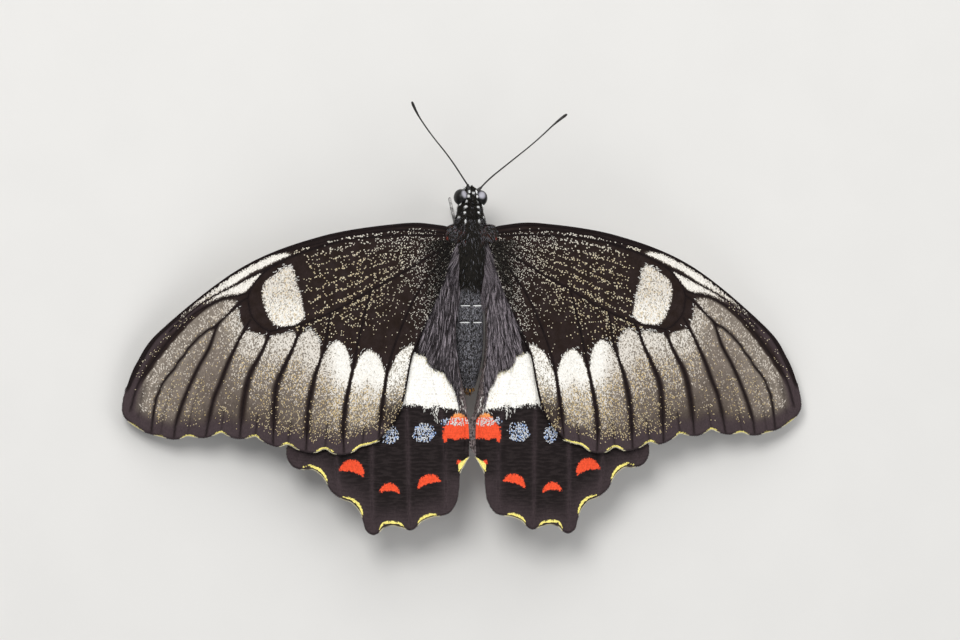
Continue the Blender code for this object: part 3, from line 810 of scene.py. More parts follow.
def noise(tree, vector, scale, detail=2.0, rough=0.5):
    sockets = {"Vector": vector, "Scale": scale, "Detail": detail, "Roughness": rough}
    return node(tree, "TexNoise", sockets).outputs["Fac"]


def place_in_mm(tree):
    return stretched(tree, node(tree, "TexCoord").outputs["Object"], 1000, 1000, 1000)


def group(name, inputs, outputs):
    """A new node group, and its inner sockets by name."""
    tree = bpy.data.node_groups.new(name, "ShaderNodeTree")
    for label, kind, value in inputs:
        socket = tree.interface.new_socket(label, in_out="INPUT", socket_type="NodeSocket" + kind)
        if value is not None:
            socket.default_value = value
    for label in outputs:
        tree.interface.new_socket(label, in_out="OUTPUT", socket_type="NodeSocketFloat")
    return tree, tree.nodes.new("NodeGroupInput").outputs, tree.nodes.new("NodeGroupOutput").inputs


def placed(tree, name, make, inputs):
    """The node group of that name, made once, placed in a material."""
    return node(tree, "Group", inputs, node_tree=bpy.data.node_groups.get(name) or make(name)).outputs


def scale_mosaic(name):
    """Rows of wing scales. Mask is 1 on the share of them that Cover gives. The tones differ by scale."""
    tree, given, result = group(
        name, [("Vector", "Vector", None), ("Scales", "Float", 6.0), ("Cover", "Float", 0.5)],
        ["Mask", "Tone", "Other tone", "Height"])
    vector = node(tree, "VectorMath", {0: stretched(tree, given["Vector"], 1.15, 0.8, 1),
                                       "Scale": given["Scales"]}, operation="SCALE").outputs[0]
    cells = node(tree, "TexVoronoi", {"Vector": vector, "Scale": 1.0, "Randomness": 0.85},
                 voronoi_dimensions="2D")
    chance = node(tree, "SeparateColor", {"Color": cells.outputs["Color"]}).outputs
    cover = calc(tree, "MULTIPLY_ADD", given["Cover"], 1.16, -0.08)
    tree.links.new(step(tree, calc(tree, "SUBTRACT", cover, chance[0]), -0.05, 0.05), result["Mask"])
    tree.links.new(chance[1], result["Tone"])
    tree.links.new(chance[2], result["Other tone"])
    tree.links.new(calc(tree, "SUBTRACT", 1.0, cells.outputs["Distance"]), result["Height"])
    return tree


def fine_grain(name):
    """Uneven colour and a fine grain, at a size in steps to the millimetre."""
    tree, given, result = group(name, [("Vector", "Vector", None), ("Fineness", "Float", 4.0)],
                                ["Tone", "Height"])
    vector = node(tree, "VectorMath", {0: given["Vector"], "Scale": given["Fineness"]},
                  operation="SCALE").outputs[0]
    tree.links.new(step(tree, noise(tree, vector, 0.35, 3.0), 0.3, 0.7), result["Tone"])
    tree.links.new(noise(tree, vector, 1.6, 4.0, 0.6), result["Height"])
    return tree


def material(name, **constants):
    """A new material: its node tree and its shader, with constants set on the shader's own sockets."""
    made = bpy.data.materials.new(name)
    made.use_nodes = True
    tree = made.node_tree
    surface = tree.nodes["Principled BSDF"]
    for key, value in constants.items():
        surface.inputs[key.replace("_", " ")].default_value = value
    return made, tree, surface


def finish(tree, surface, base, height, depth):
    """Wires a colour, and a height as a bump so many millimetres deep, to the shader."""
    tree.links.new(base, surface.inputs["Base Color"])
    bump = node(tree, "Bump", {"Height": height, "Distance": depth * MM, "Strength": 1.0})
    tree.links.new(bump.outputs[0], surface.inputs["Normal"])


def plan_in_mm(tree):
    return stretched(tree, node(tree, "UVMap", uv_map="Flat").outputs[0], 100, 100, 1)


def wing_scales(wing, wings, tints):
    """Both sides of a wing: dark ground, thin film, pale scales, and red and yellow marks."""
    fore = wing is FOREWING
    made, tree, surface = material(wing["name"] + " scales", Roughness=0.8, Specular_IOR_Level=0.12)
    plan = plan_in_mm(tree)
    mosaic = placed(tree, "Scale mosaic", scale_mosaic,
                    {"Vector": plan, "Scales": MM / wings.scale, "Cover": attribute(tree, "cover")})
    patchy = step(tree, noise(tree, plan, 0.5, 4.0), 0.3, 0.75)
    base = mix(tree, calc(tree, "MULTIPLY", patchy, 0.25), tints.brown if fore else tints.black, tints.border)
    height = mosaic["Height"]
    if not fore:
        # The hindwing's ripples: the bump raises their crests, and the crests are also painted lighter as
        # painted light.
        ripples = noise(tree, stretched(tree, plan, 0.5, 2.5, 1), 1.0, 1.0)
        crest_light_and_height = step(tree, ripples, 0.42, 0.62)
        base = mix(tree, crest_light_and_height, tints.black, tints.ripple)
        height = calc(tree, "MULTIPLY_ADD", crest_light_and_height, 1.4, height)
    base = mix(tree, attribute(tree, "border"), base, tints.border)
    film = calc(tree, "MULTIPLY", attribute(tree, "film"), calc(tree, "MULTIPLY_ADD", patchy, 0.25, 0.75))
    base = mix(tree, film, base, mix(tree, attribute(tree, "white"), tints.film, tints.film_pale))
    base = mix(tree, attribute(tree, "vein"), base, tints.vein if fore else tints.border)
    pale = mix(tree, attribute(tree, "white"), tints.grey, tints.white)
    golden = calc(tree, "MULTIPLY_ADD", attribute(tree, "warm"), 0.3, mosaic["Other tone"])
    golden = step(tree, golden, 0.98, 1.02)
    pale = mix(tree, calc(tree, "MULTIPLY", golden, attribute(tree, "warm")), pale, tints.gold)
    base = mix(tree, mosaic["Mask"], base, pale)
    ragged = calc(tree, "MULTIPLY_ADD", mosaic["Tone"], 0.3, -0.15)
    if not fore:
        red = step(tree, calc(tree, "ADD", attribute(tree, "red"), ragged), -0.06, 0.06)
        keep = calc(tree, "MULTIPLY", red, calc(tree, "SUBTRACT", 1.0, mosaic["Mask"]))
        orange = mix(tree, calc(tree, "MULTIPLY", attribute(tree, "warm"), 0.8), tints.red, tints.yellow)
        base = mix(tree, keep, base, orange)
        grey = mix(tree, mosaic["Tone"], tints.ripple, tints.fold)
        base = mix(tree, attribute(tree, "strip"), base, grey)
    yellow = step(tree, calc(tree, "MULTIPLY_ADD", ragged, 0.4, attribute(tree, "yellow")), -0.03, 0.05)
    base = mix(tree, yellow, base, tints.yellow)
    shade = {k: calc(tree, "MULTIPLY_ADD", mosaic["Tone"], 0.3, 0.82) for k in range(3)}
    shade = node(tree, "CombineColor", shade)
    base = mix(tree, 1.0, base, shade.outputs[0], "MULTIPLY")
    finish(tree, surface, base, height, 0.03)
    return made


def loose_scales(tints):
    """Loose scales on the wing: cream, or golden, white, blue, dark or yellow by their attributes."""
    made, tree, surface = material("loose scales", Roughness=0.7, Specular_IOR_Level=0.2)
    grain = placed(tree, "Fine grain", fine_grain, {"Vector": place_in_mm(tree), "Fineness": 5.0})
    base = tinted(tree, tints.cream, {"gold": tints.gold, "white": tints.white, "blue": tints.blue,
                                      "dark": tints.border, "yellow": tints.yellow})
    base = mix(tree, calc(tree, "MULTIPLY", grain["Tone"], 0.08), base, tints.film)
    finish(tree, surface, base, grain["Height"], 0.01)
    return made


def fur(name, dark, light, tints, rough=0.65):
    """Hair and body scales, from dark roots to light tips, with pale flecks and white marks by attribute."""
    made, tree, surface = material(name, Roughness=rough, Specular_IOR_Level=0.25)
    grain = placed(tree, "Fine grain", fine_grain, {"Vector": place_in_mm(tree), "Fineness": 6.0})
    tone = calc(tree, "MULTIPLY", attribute(tree, "tip"), calc(tree, "MULTIPLY_ADD", grain["Tone"], 0.4, 0.6))
    base = mix(tree, calc(tree, "MULTIPLY", tone, attribute(tree, "tone")), dark, light)
    base = tinted(tree, base, {"fleck": tints.frost, "warm": tints.ochre, "red": tints.red,
                               "mark": tints.dot})
    finish(tree, surface, base, grain["Height"], 0.01)
    return made


def horn(name, share, tints, roughness):
    """Feelers, legs and tongue: hard and dark, dusted with pale scales, the more the greater the share; the
    forelegs' thighs also get a painted highlight in that pale colour.
    """
    made, tree, surface = material(name, Roughness=roughness)
    vector = place_in_mm(tree)
    grain = placed(tree, "Fine grain", fine_grain, {"Vector": vector, "Fineness": 8.0})
    specks = step(tree, noise(tree, vector, 9.0, 1.0), 0.62 - share, 0.7 - share)
    dust_and_highlight_mask = calc(tree, "MULTIPLY", specks, attribute(tree, "dust_and_highlight"))
    base = mix(tree, calc(tree, "MULTIPLY", grain["Tone"], 0.2), tints.horn, tints.fur_light)
    finish(tree, surface, mix(tree, dust_and_highlight_mask, base, tints.leg_dust_and_highlight), grain["Height"], 0.02)
    return made


# ----------------------------------------------------------------------------
# Wings
# ----------------------------------------------------------------------------

def wing_ring(wing):
    shares = np.linspace(0, 1, 90)
    return np.concatenate([even_line(wing["front"], shares), outer_line(wing, shares)[1:],
                           even_line(wing["inner"], shares)[-2::-1]])


def strewn(wing, random, per_mm2, chance):
    """Places strewn at random over the wing, kept with the chance that the function gives."""
    ring = wing_ring(wing)
    low, high = ring.min(0), ring.max(0)
    flat = random.uniform(low, high, (int(per_mm2 * np.prod(high - low)), 2))
    flat = flat[enclosed(flat, ring)]
    return flat[random.random(len(flat)) < chance(flat)]


def wing_uv(flat):
    """Each place on the plan as one on the unwrapped skin."""
    return (flat + (0, 40)) / 70


def note_plan(mesh, flat):
    """Notes each corner's place on the wing's plan as a UV map."""
    corners = read_array(mesh.loops, "vertex_index", 1, np.int32)
    layer = mesh.uv_layers.new(name="Flat")
    layer.data.foreach_set("uv", ((flat + (0, 50)) / 100)[corners].astype(np.float32).reshape(-1))


def grid_sheet(name, steps, place, pattern, thickness, paint, replaced=()):
    """A sheet over a grid: place turns its two shares into a place on the plan and one in space."""
    bm = bmesh.new()
    bmesh.ops.create_grid(bm, x_segments=steps[0], y_segments=steps[1], size=0.5)
    shares = np.array([corner.co for corner in bm.verts])[:, :2] + 0.5
    flat, places = place(shares[:, 0], shares[:, 1])
    for corner, at in zip(bm.verts, places * MM):
        corner.co = at
    bm.normal_update()
    if sum(face.normal.z * face.calc_area() for face in bm.faces) < 0:
        bmesh.ops.reverse_faces(bm, faces=bm.faces)
    mesh = bpy.data.meshes.new(name)
    bm.to_mesh(mesh)
    bm.free()
    for label, field in pattern(flat).items():
        mesh.attributes.new(label, "FLOAT", "POINT").data.foreach_set("value", field.astype(np.float32))
    note_plan(mesh, flat)
    made = shown(name, mesh, paint, replaced)
    made.modifiers.new("thickness", "SOLIDIFY").thickness = thickness
    made.modifiers["thickness"].offset = 0.0


def membrane(wing, side, wings, paint):
    """One wing's sheet, pleated between its veins, with its pattern in attributes."""
    def place(out, across):
        flat = laid_flat(wing, out, across)
        lift = sag(wing, flat, wings.pleat / MM) * ramp(edge_distance(wing, flat), 0.0, 2.0)
        return flat, spread(wing, side, flat, lift)

    name = wing["name"]
    grid_sheet(f"{name}_membrane_{side}", (wing["steps_out"], wing["steps_across"]), place, wing["pattern"],
               wings.membrane, paint, [f"{name}_{side}"])


def inner_fold(side, wings, paint):
    """The hindwing's inner margin, turned down beside the abdomen. The right one closes the gap behind it."""
    def place(along, across):
        flat = even_line(FOLD_LINE[side], along)
        behind = ramp(-flat[:, 1], 16.5, 18.0)
        turn, reach = across * math.pi / 2, ramp(along, 0.0, 0.12) * (1 - ramp(along, FOLD_FADE[side], 1.0))
        wide = 0.35 + 0.75 * behind
        swell = 0.22 * behind * np.sin(math.pi * np.minimum(2 * across, 1))
        drop = -1.3 * (1 - np.cos(turn)) * (1 - behind) + swell
        inwards = -SIDES[side] * wide * (np.sin(turn) * (1 - behind) + across * behind)
        move = np.stack([inwards, 0 * turn, drop], 1)
        return flat - np.stack([1.1 * np.sin(turn) * reach, 0 * turn], 1), (
            spread(HINDWING, side, flat) + move * reach[:, None])

    def pattern(flat):
        unmarked = np.full(len(flat), FAR_OUTSIDE)
        return {**hindwing_pattern(flat), "strip": np.ones(len(flat)), "cover": np.zeros(len(flat)),
                "yellow": unmarked, "red": unmarked}

    grid_sheet(f"hindwing_fold_{side}", (120, 9), place, pattern, wings.membrane, paint)


def vein_tubes(wing, side, wings, paint):
    """The veins stand proud of the sheet, and creases run in from the outer edge between them."""
    rings = 40
    form = column([1.0] * rings, 6)
    lines = list(vein_lines(wing).values())
    creases = [even_line(line, np.linspace(0, 1, rings)) for line in wing["folds"]]
    ring = np.rint(form[0][:, 0] * (rings - 1)).astype(int)
    batches = []
    for i, line in enumerate(lines + creases):
        radii = wings.vein / MM + (wings.vein_end - wings.vein) / MM * np.clip((line[:, 0] - 3) / 45, 0, 1)
        rim, lift = edge_distance(wing, line), 0.5 * wings.pleat / MM
        if i >= len(lines):
            radii, lift = 0.09, sag(wing, line, wings.pleat / MM) + 0.03
        path = spread(wing, side, line, lift * ramp(rim, 0.0, 2.0))
        batches.append((form, along_path(form, path, radii * (0.35 + 0.65 * ramp(rim, 0.0, 3.0)))))
    flat = np.concatenate(lines + creases)
    values = {label: [part[ring][None] for part in field.reshape(-1, rings)]
              for label, field in wing["pattern"](flat).items()}
    made = piece(f"{wing['name']}_veins_{side}", batches, paint, values=values)
    note_plan(made.data, np.concatenate([part[ring] for part in flat.reshape(-1, rings, 2)]))


class BUTTERFLY_OT_wings(bpy.types.Operator):
    """Builds the four wings: their pleated sheets and their veins"""
    bl_idname = "butterfly.wings"
    bl_label = "Wings"

    def execute(self, context):
        wings, tints = context.scene.butterfly_wings, context.scene.butterfly_colours
        for wing in WINGS:
            paint = wing_scales(wing, wings, tints)
            for side in SIDES:
                membrane(wing, side, wings, paint)
                vein_tubes(wing, side, wings, paint)
                if wing is HINDWING:
                    inner_fold(side, wings, paint)
        return {"FINISHED"}


# The rows of loose scales in the forewing's cell, at shares of its width.
CELL_ROWS = (0.08, 0.24, 0.4, 0.56, 0.72, 0.9)


def forewing_speckles(flat):
    """The chance of a loose pale scale on the forewing's dark base, in rows in its cell."""
    x, y = flat.T
    veins, lines = vein_distance(FOREWING, flat), vein_lines(FOREWING)
    front = side_distance(FOREWING, "front", flat)
    above, below = (np.interp(x, *lines[name].T) for name in ("radius", "cubitus"))
    span = np.maximum(above - below, 0.5)
    share = (above - y) / span
    rows = 0.1 + 0.9 * np.max([bell((share - row) * span, 0.28) for row in CELL_ROWS], axis=0)
    rows = rows + (0.85 - rows) * (1 - ramp(x, 10.0, 16.0))
    cell = 0.66 * rows * ((share > 0) & (share < 1)) * (1 - ramp(x, 28.0, 29.6))
    fore = (share <= 0) * (1 - ramp(x, 30.0, 32.0)) * ramp(front, 0.85, 1.05)
    fore = 0.85 * fore * (0.4 + 0.6 * bell(front - 1.25, 0.25))
    behind = (share >= 1) * (x < 31)
    rear = behind * (1 - 0.9 * ramp(below - y, 2.0, 9.0)) * (0.22 + 0.5 * bell(veins - 0.45, 0.22))
    root = behind * (1 - ramp(x, 6.5, 13.0)) * ramp(y, -7.0, 1.0) * 0.7
    clear = 1 - ramp(depth_in(flat, PALE_SPACES), -0.5, 0.0)
    clear *= 1 - ramp(depth_in(flat, CELL_PATCH), -0.4, 0.1)
    apex = 0.14 * ramp(x, 42.0, 48.0) * ramp(y, -15.0, -8.0)
    apex = apex * (1 - ramp(front, 1.8, 2.6)) * ramp(front, 0.7, 1.1)
    base = np.maximum.reduce([cell, fore, rear, root]) * clear * (0.1 + 0.9 * ramp(veins, 0.12, 0.3))
    return np.maximum(base, apex)


def forewing_gold(flat):
    """The same for the golden scales of the outer border."""
    x, y = flat.T
    veins, rim = vein_distance(FOREWING, flat), edge_distance(FOREWING, flat)
    folds = fold_distance(FOREWING, flat)
    apex = ramp(x, 35.5, 40.0)
    rear = (1 - apex) * ramp(rim, 1.3, 2.4) * (1 - 0.85 * ramp(rim, 5.5, 10.0))
    tip = apex * (0.1 + 0.7 * bell(folds - 0.55, 0.4)) * ramp(rim, 1.3, 2.4) * (1 - ramp(rim, 9.0, 14.0))
    edge = side_distance(FOREWING, "inner", flat)
    inner = 0.8 * ramp(-x, -17.5, -14.0) * ramp(-y, 5.0, 6.5) * ramp(rim, 0.4, 1.0) * ramp(edge, 0.3, 0.5)
    outer = ramp(depth_in(flat, PALE_SPACES), 2.5, 5.0)
    return np.maximum.reduce([rear, tip, inner]) * outer * ramp(veins, 0.2, 0.5)


def forewing_wisps(flat):
    """The same for the long white scales that break up the edges of the pale areas."""
    x, y = flat.T
    clear = ramp(vein_distance(FOREWING, flat), 0.25, 0.5) * (x < 41)
    clear = clear * ramp(side_distance(FOREWING, "inner", flat), 0.4, 0.6)
    tops = bell(depth_in(flat, PALE_SPACES), 0.4) * (y < 3.0)
    patch = bell(depth_in(flat, CELL_PATCH), 0.35) * (x < 34.5)
    return np.maximum(tops, patch) * clear


def hindwing_blue(flat):
    """The same for the scales of the blue spots."""
    chance = np.zeros(len(flat))
    for centre, radii in BLUE_SPOTS:
        chance = np.maximum(chance, ramp(1 - np.hypot(*((flat - centre) / radii).T), 0.0, 0.5))
    return chance


def hindwing_frost(flat):
    """The same for the white scales over the red inner spot."""
    centre, radii = RED_FROST
    oval = ramp(1 - np.hypot(*((flat - centre) / radii).T), 0.0, 0.4)
    return 0.85 * oval * ramp(depth_in(flat, RED_SPOT), -0.3, 0.1)


def hindwing_wisps(flat):
    """The same for the long white scales at the white patch's edges and the streak below it."""
    x, y = flat.T
    edge = bell(depth_in(flat, WHITE_PATCH), 0.35)
    streak = bell(x - 6.2, 0.35 + 0.12 * (y + 18.6)) * ramp(y, -18.8, -17.0) * (y < -15.0)
    near = side_distance(HINDWING, "inner", flat) < 1.1
    strip = 0.45 * ramp(-y, 8.0, 11.0) * ramp(y, -17.5, -16.5) * near
    return np.maximum.reduce([edge, streak, strip]) * (y > -23.0)


def scale_batch(wing, side, form, flat, random, length, share, lift=0.05):
    """Loose scales at these places on the upper side, lying outwards."""
    outwards = unit(flat - (0.0, 22.0)) + random.normal(0, 0.25, (len(flat), 2))
    ahead, up = wing_axes(wing, side, flat, unit(outwards))
    roots = spread(wing, side, flat, sag(wing, flat, PLEAT) + 0.09)
    long = length * random.uniform(0.7, 1.25, len(flat))
    return form, copies(form, roots, ahead + lift * up, up, long, share * long, 0.05, 0.08)


class BUTTERFLY_OT_wing_scales(bpy.types.Operator):
    """Strews loose pale, golden and blue scales over the wings"""
    bl_idname = "butterfly.wing_scales"
    bl_label = "Wing scales"

    def execute(self, context):
        wings, tints = context.scene.butterfly_wings, context.scene.butterfly_colours
        paint = loose_scales(tints)
        form = column([0.22, 0.5, 0.36], 4)
        length = wings.speckle / MM
        for side in SIDES:
            random = seeded(11, side)
            pale = strewn(FOREWING, random, 15.0, forewing_speckles)
            small = 0.62 + 0.28 * ramp(pale[:, 0], 8.0, 20.0) - 0.25 * ramp(pale[:, 0], 38.0, 42.0)
            gold = strewn(FOREWING, random, 6.5, forewing_gold)
            wisps = strewn(FOREWING, random, 9.0, forewing_wisps)
            places = [pale, gold, wisps]
            batches = [scale_batch(FOREWING, side, form, flat, random, length * long, share)
                       for flat, long, share in zip(places, (small, 0.82, 1.6), (1.0, 0.95, 0.3))]
            whiteness = np.maximum(ramp(pale[:, 1], 9.0, 14.0), 1 - ramp(pale[:, 0], 8.0, 16.0)) * 0.7
            golden = (0.35 + 0.4 * ramp(pale[:, 0], 12.0, 20.0)) * random.random(len(pale))
            labels = [{"gold": golden, "white": whiteness}, {"gold": 0.4 + 0.6 * random.random(len(gold))},
                      {"white": np.ones(len(wisps))}]
            roots = [wing_uv(flat) for flat in places]
            coat_piece(f"forewing_scales_{side}", batches, labels, paint, roots)
            blue = strewn(HINDWING, random, 23.0, hindwing_blue)
            frost = strewn(HINDWING, random, 34.0, hindwing_frost)
            wisps = strewn(HINDWING, random, 9.0, hindwing_wisps)
            places = [blue, frost, wisps]
            batches = [scale_batch(HINDWING, side, form, flat, random, length * long, share)
                       for flat, long, share in zip(places, (1.0, 0.9, 1.8), (0.95, 0.9, 0.26))]
            labels = [{"blue": 0.05 + 0.95 * random.random(len(blue)) ** 1.6},
                      {"blue": 0.12 * random.random(len(frost))},
                      {"yellow": 0.4 * ramp(wisps[:, 1], -13.5, -10.0) * (wisps[:, 0] < 9.5)}]
            labels = [{**label, "white": np.ones(len(flat))} for label, flat in zip(labels, places)]
            roots = [wing_uv(flat) for flat in places]
            coat_piece(f"hindwing_scales_{side}", batches, labels, paint, roots)
        return {"FINISHED"}


class BUTTERFLY_OT_fringe(bpy.types.Operator):
    """Sets the short fringe along the outer edges, in the material of the loose scales"""
    bl_idname = "butterfly.fringe"
    bl_label = "Fringe"

    def execute(self, context):
        wings = context.scene.butterfly_wings
        paint = bpy.data.materials["loose scales"]
        form = column([0.4, 0.5, 0.15], 3)
        count = FRINGE_SCALES
        for wing in WINGS:
            for side in SIDES:
                random = seeded(21, side)
                shares = (np.arange(count) + random.random(count)) / count
                flat = outer_line(wing, shares)
                ahead = outer_line(wing, shares + 0.002) - outer_line(wing, shares - 0.002)
                outwards = unit(np.stack([-ahead[:, 1], ahead[:, 0]], 1)) + random.normal(0, 0.2, (count, 2))
                middle = 0.3 * outer_line(wing, np.array([0.5]))
                outwards *= np.sign((outwards * (flat - middle)).sum(1, keepdims=True))
                inset = flat - 0.12 * unit(outwards)
                ahead, up = wing_axes(wing, side, inset, unit(outwards))
                yellow = ramp(yellow_field(wing, flat), -0.45, -0.15)
                long = wings.fringe / MM * random.uniform(0.6, 1.1, count)
                roots = spread(wing, side, inset, random.normal(0, 0.02, count))
                lie = ahead + random.normal(0, 0.1, (count, 1)) * up
                laid = copies(form, roots, lie, up, long, 0.1, 0.03)
                labels = {"white": 0.8 * yellow, "dark": 1 - yellow, "yellow": 0.35 * yellow}
                coat_piece(f"{wing['name']}_fringe_{side}", [(form, laid)], [labels], paint,
                           [wing_uv(flat)])
        return {"FINISHED"}


# ----------------------------------------------------------------------------
# Body and coat
# ----------------------------------------------------------------------------

def body_uv(along, angle):
    return np.stack([(angle / (2 * math.pi)) % 1 * 0.96 + 0.02, (along + 14) / 37.5 * 0.96 + 0.02], 1)


def sway(places, random, wavelength):
    """A smooth random number, about from -1 to 1, at each place."""
    waves = random.normal(0, 1, (5, places.shape[1]))
    waves = unit(waves) * 2 * math.pi / wavelength * random.uniform(0.6, 1.4, (5, 1))
    return np.sin(places @ waves.T + random.uniform(0, 6.3, 5)).sum(1) / 2.2


def body_roots(random, count, low, high):
    """Places of the body, even over its skin: how far along, and at which angle."""
    along = random.uniform(low, high, 9 * count)
    half, tall = (np.interp(along, BODY_PROFILE[:, 0], BODY_PROFILE[:, k]) for k in (1, 3))
    girth = (half + tall) * np.minimum(np.hypot(1, np.gradient(BODY_PROFILE[:, 3], BODY_PROFILE[:, 0])[
        np.searchsorted(BODY_PROFILE[:, 0], along).clip(0, len(BODY_PROFILE) - 1)]), 6.0)
    along = along[random.random(len(along)) < girth / girth.max()][:count]
    return along, random.uniform(0, 2 * math.pi, len(along))


def mirrored(points, side):
    return np.asarray(points, float) * (SIDES[side], 1, 1)


def ball(radii, centre, subdivisions=4):
    """A ball, stretched and moved to its place on the turned head."""
    bm = bmesh.new()
    bmesh.ops.create_icosphere(bm, subdivisions=subdivisions, radius=1.0)
    form = form_of(bm)
    return form, turn_head(form[0] * radii + centre)


class BUTTERFLY_OT_skin(bpy.types.Operator):
    """Builds the one skin under the coat of head, collar, thorax and abdomen"""
    bl_idname = "butterfly.skin"
    bl_label = "Skin"

    def execute(self, context):
        tints = context.scene.butterfly_colours
        rings, sides = 230, 56
        form = column([1.0] * rings, sides)
        along = 22.75 - form[0][:, 0] * 36.25
        angle = np.arctan2(form[0][:, 1], form[0][:, 2])
        grooves = sum(bell(along - line, 0.14) for line in SEGMENT_LINES)
        depth = between(COAT_DEPTH, along) + 0.12 * grooves
        skin = fur("body skin", tints.fur_dark, tints.fur_light, tints, 0.75)
        values = {"tip": [np.full((1, len(along)), 0.35)], "tone": [np.full((1, len(along)), 0.4)],
                  "mark": [0.6 * body_marks(along, angle)[None]]}
        piece("body_skin", [(form, body_surface(along, angle, depth))], skin,
              ["head", "collar", "thorax", "abdomen"], values)
        return {"FINISHED"}


ROOT_SHADE = -1000.0  # so far below zero that the faces around a root's lower corners stay fully dark


def combed(lie, up, lift):
    """Directions laid down along the skin, and then lifted off it."""
    return unit(lie - (lie * up).sum(1, keepdims=True) * up) + lift * up


def coat_values(form, count, tone, low=0.0, **more):
    """The fur's attributes for so many copies: dark roots, light tips, their tone, and more by name."""
    along = form[0][:, 0]
    tip = np.where(along < 0, ROOT_SHADE, low + (1 - low) * np.abs(along) ** 1.3)
    return {"tip": np.broadcast_to(tip, (count, len(tip))), "tone": tone, **more}


def furry_ball(name, side, batches, labels, around, unrolled, paint, replaced=()):
    """A piece of fur around a ball. Its hairs are unwrapped by their direction's x and one more axis."""
    middle = 0.25 if side == "left" else 0.75
    uv = np.stack([around[:, 0] * 0.2 + middle, around[:, unrolled] * 0.4 + 0.5], 1)
    coat_piece(f"{name}_{side}", batches, [{}, labels], paint, [np.full((1, 2), 0.5), uv], replaced)


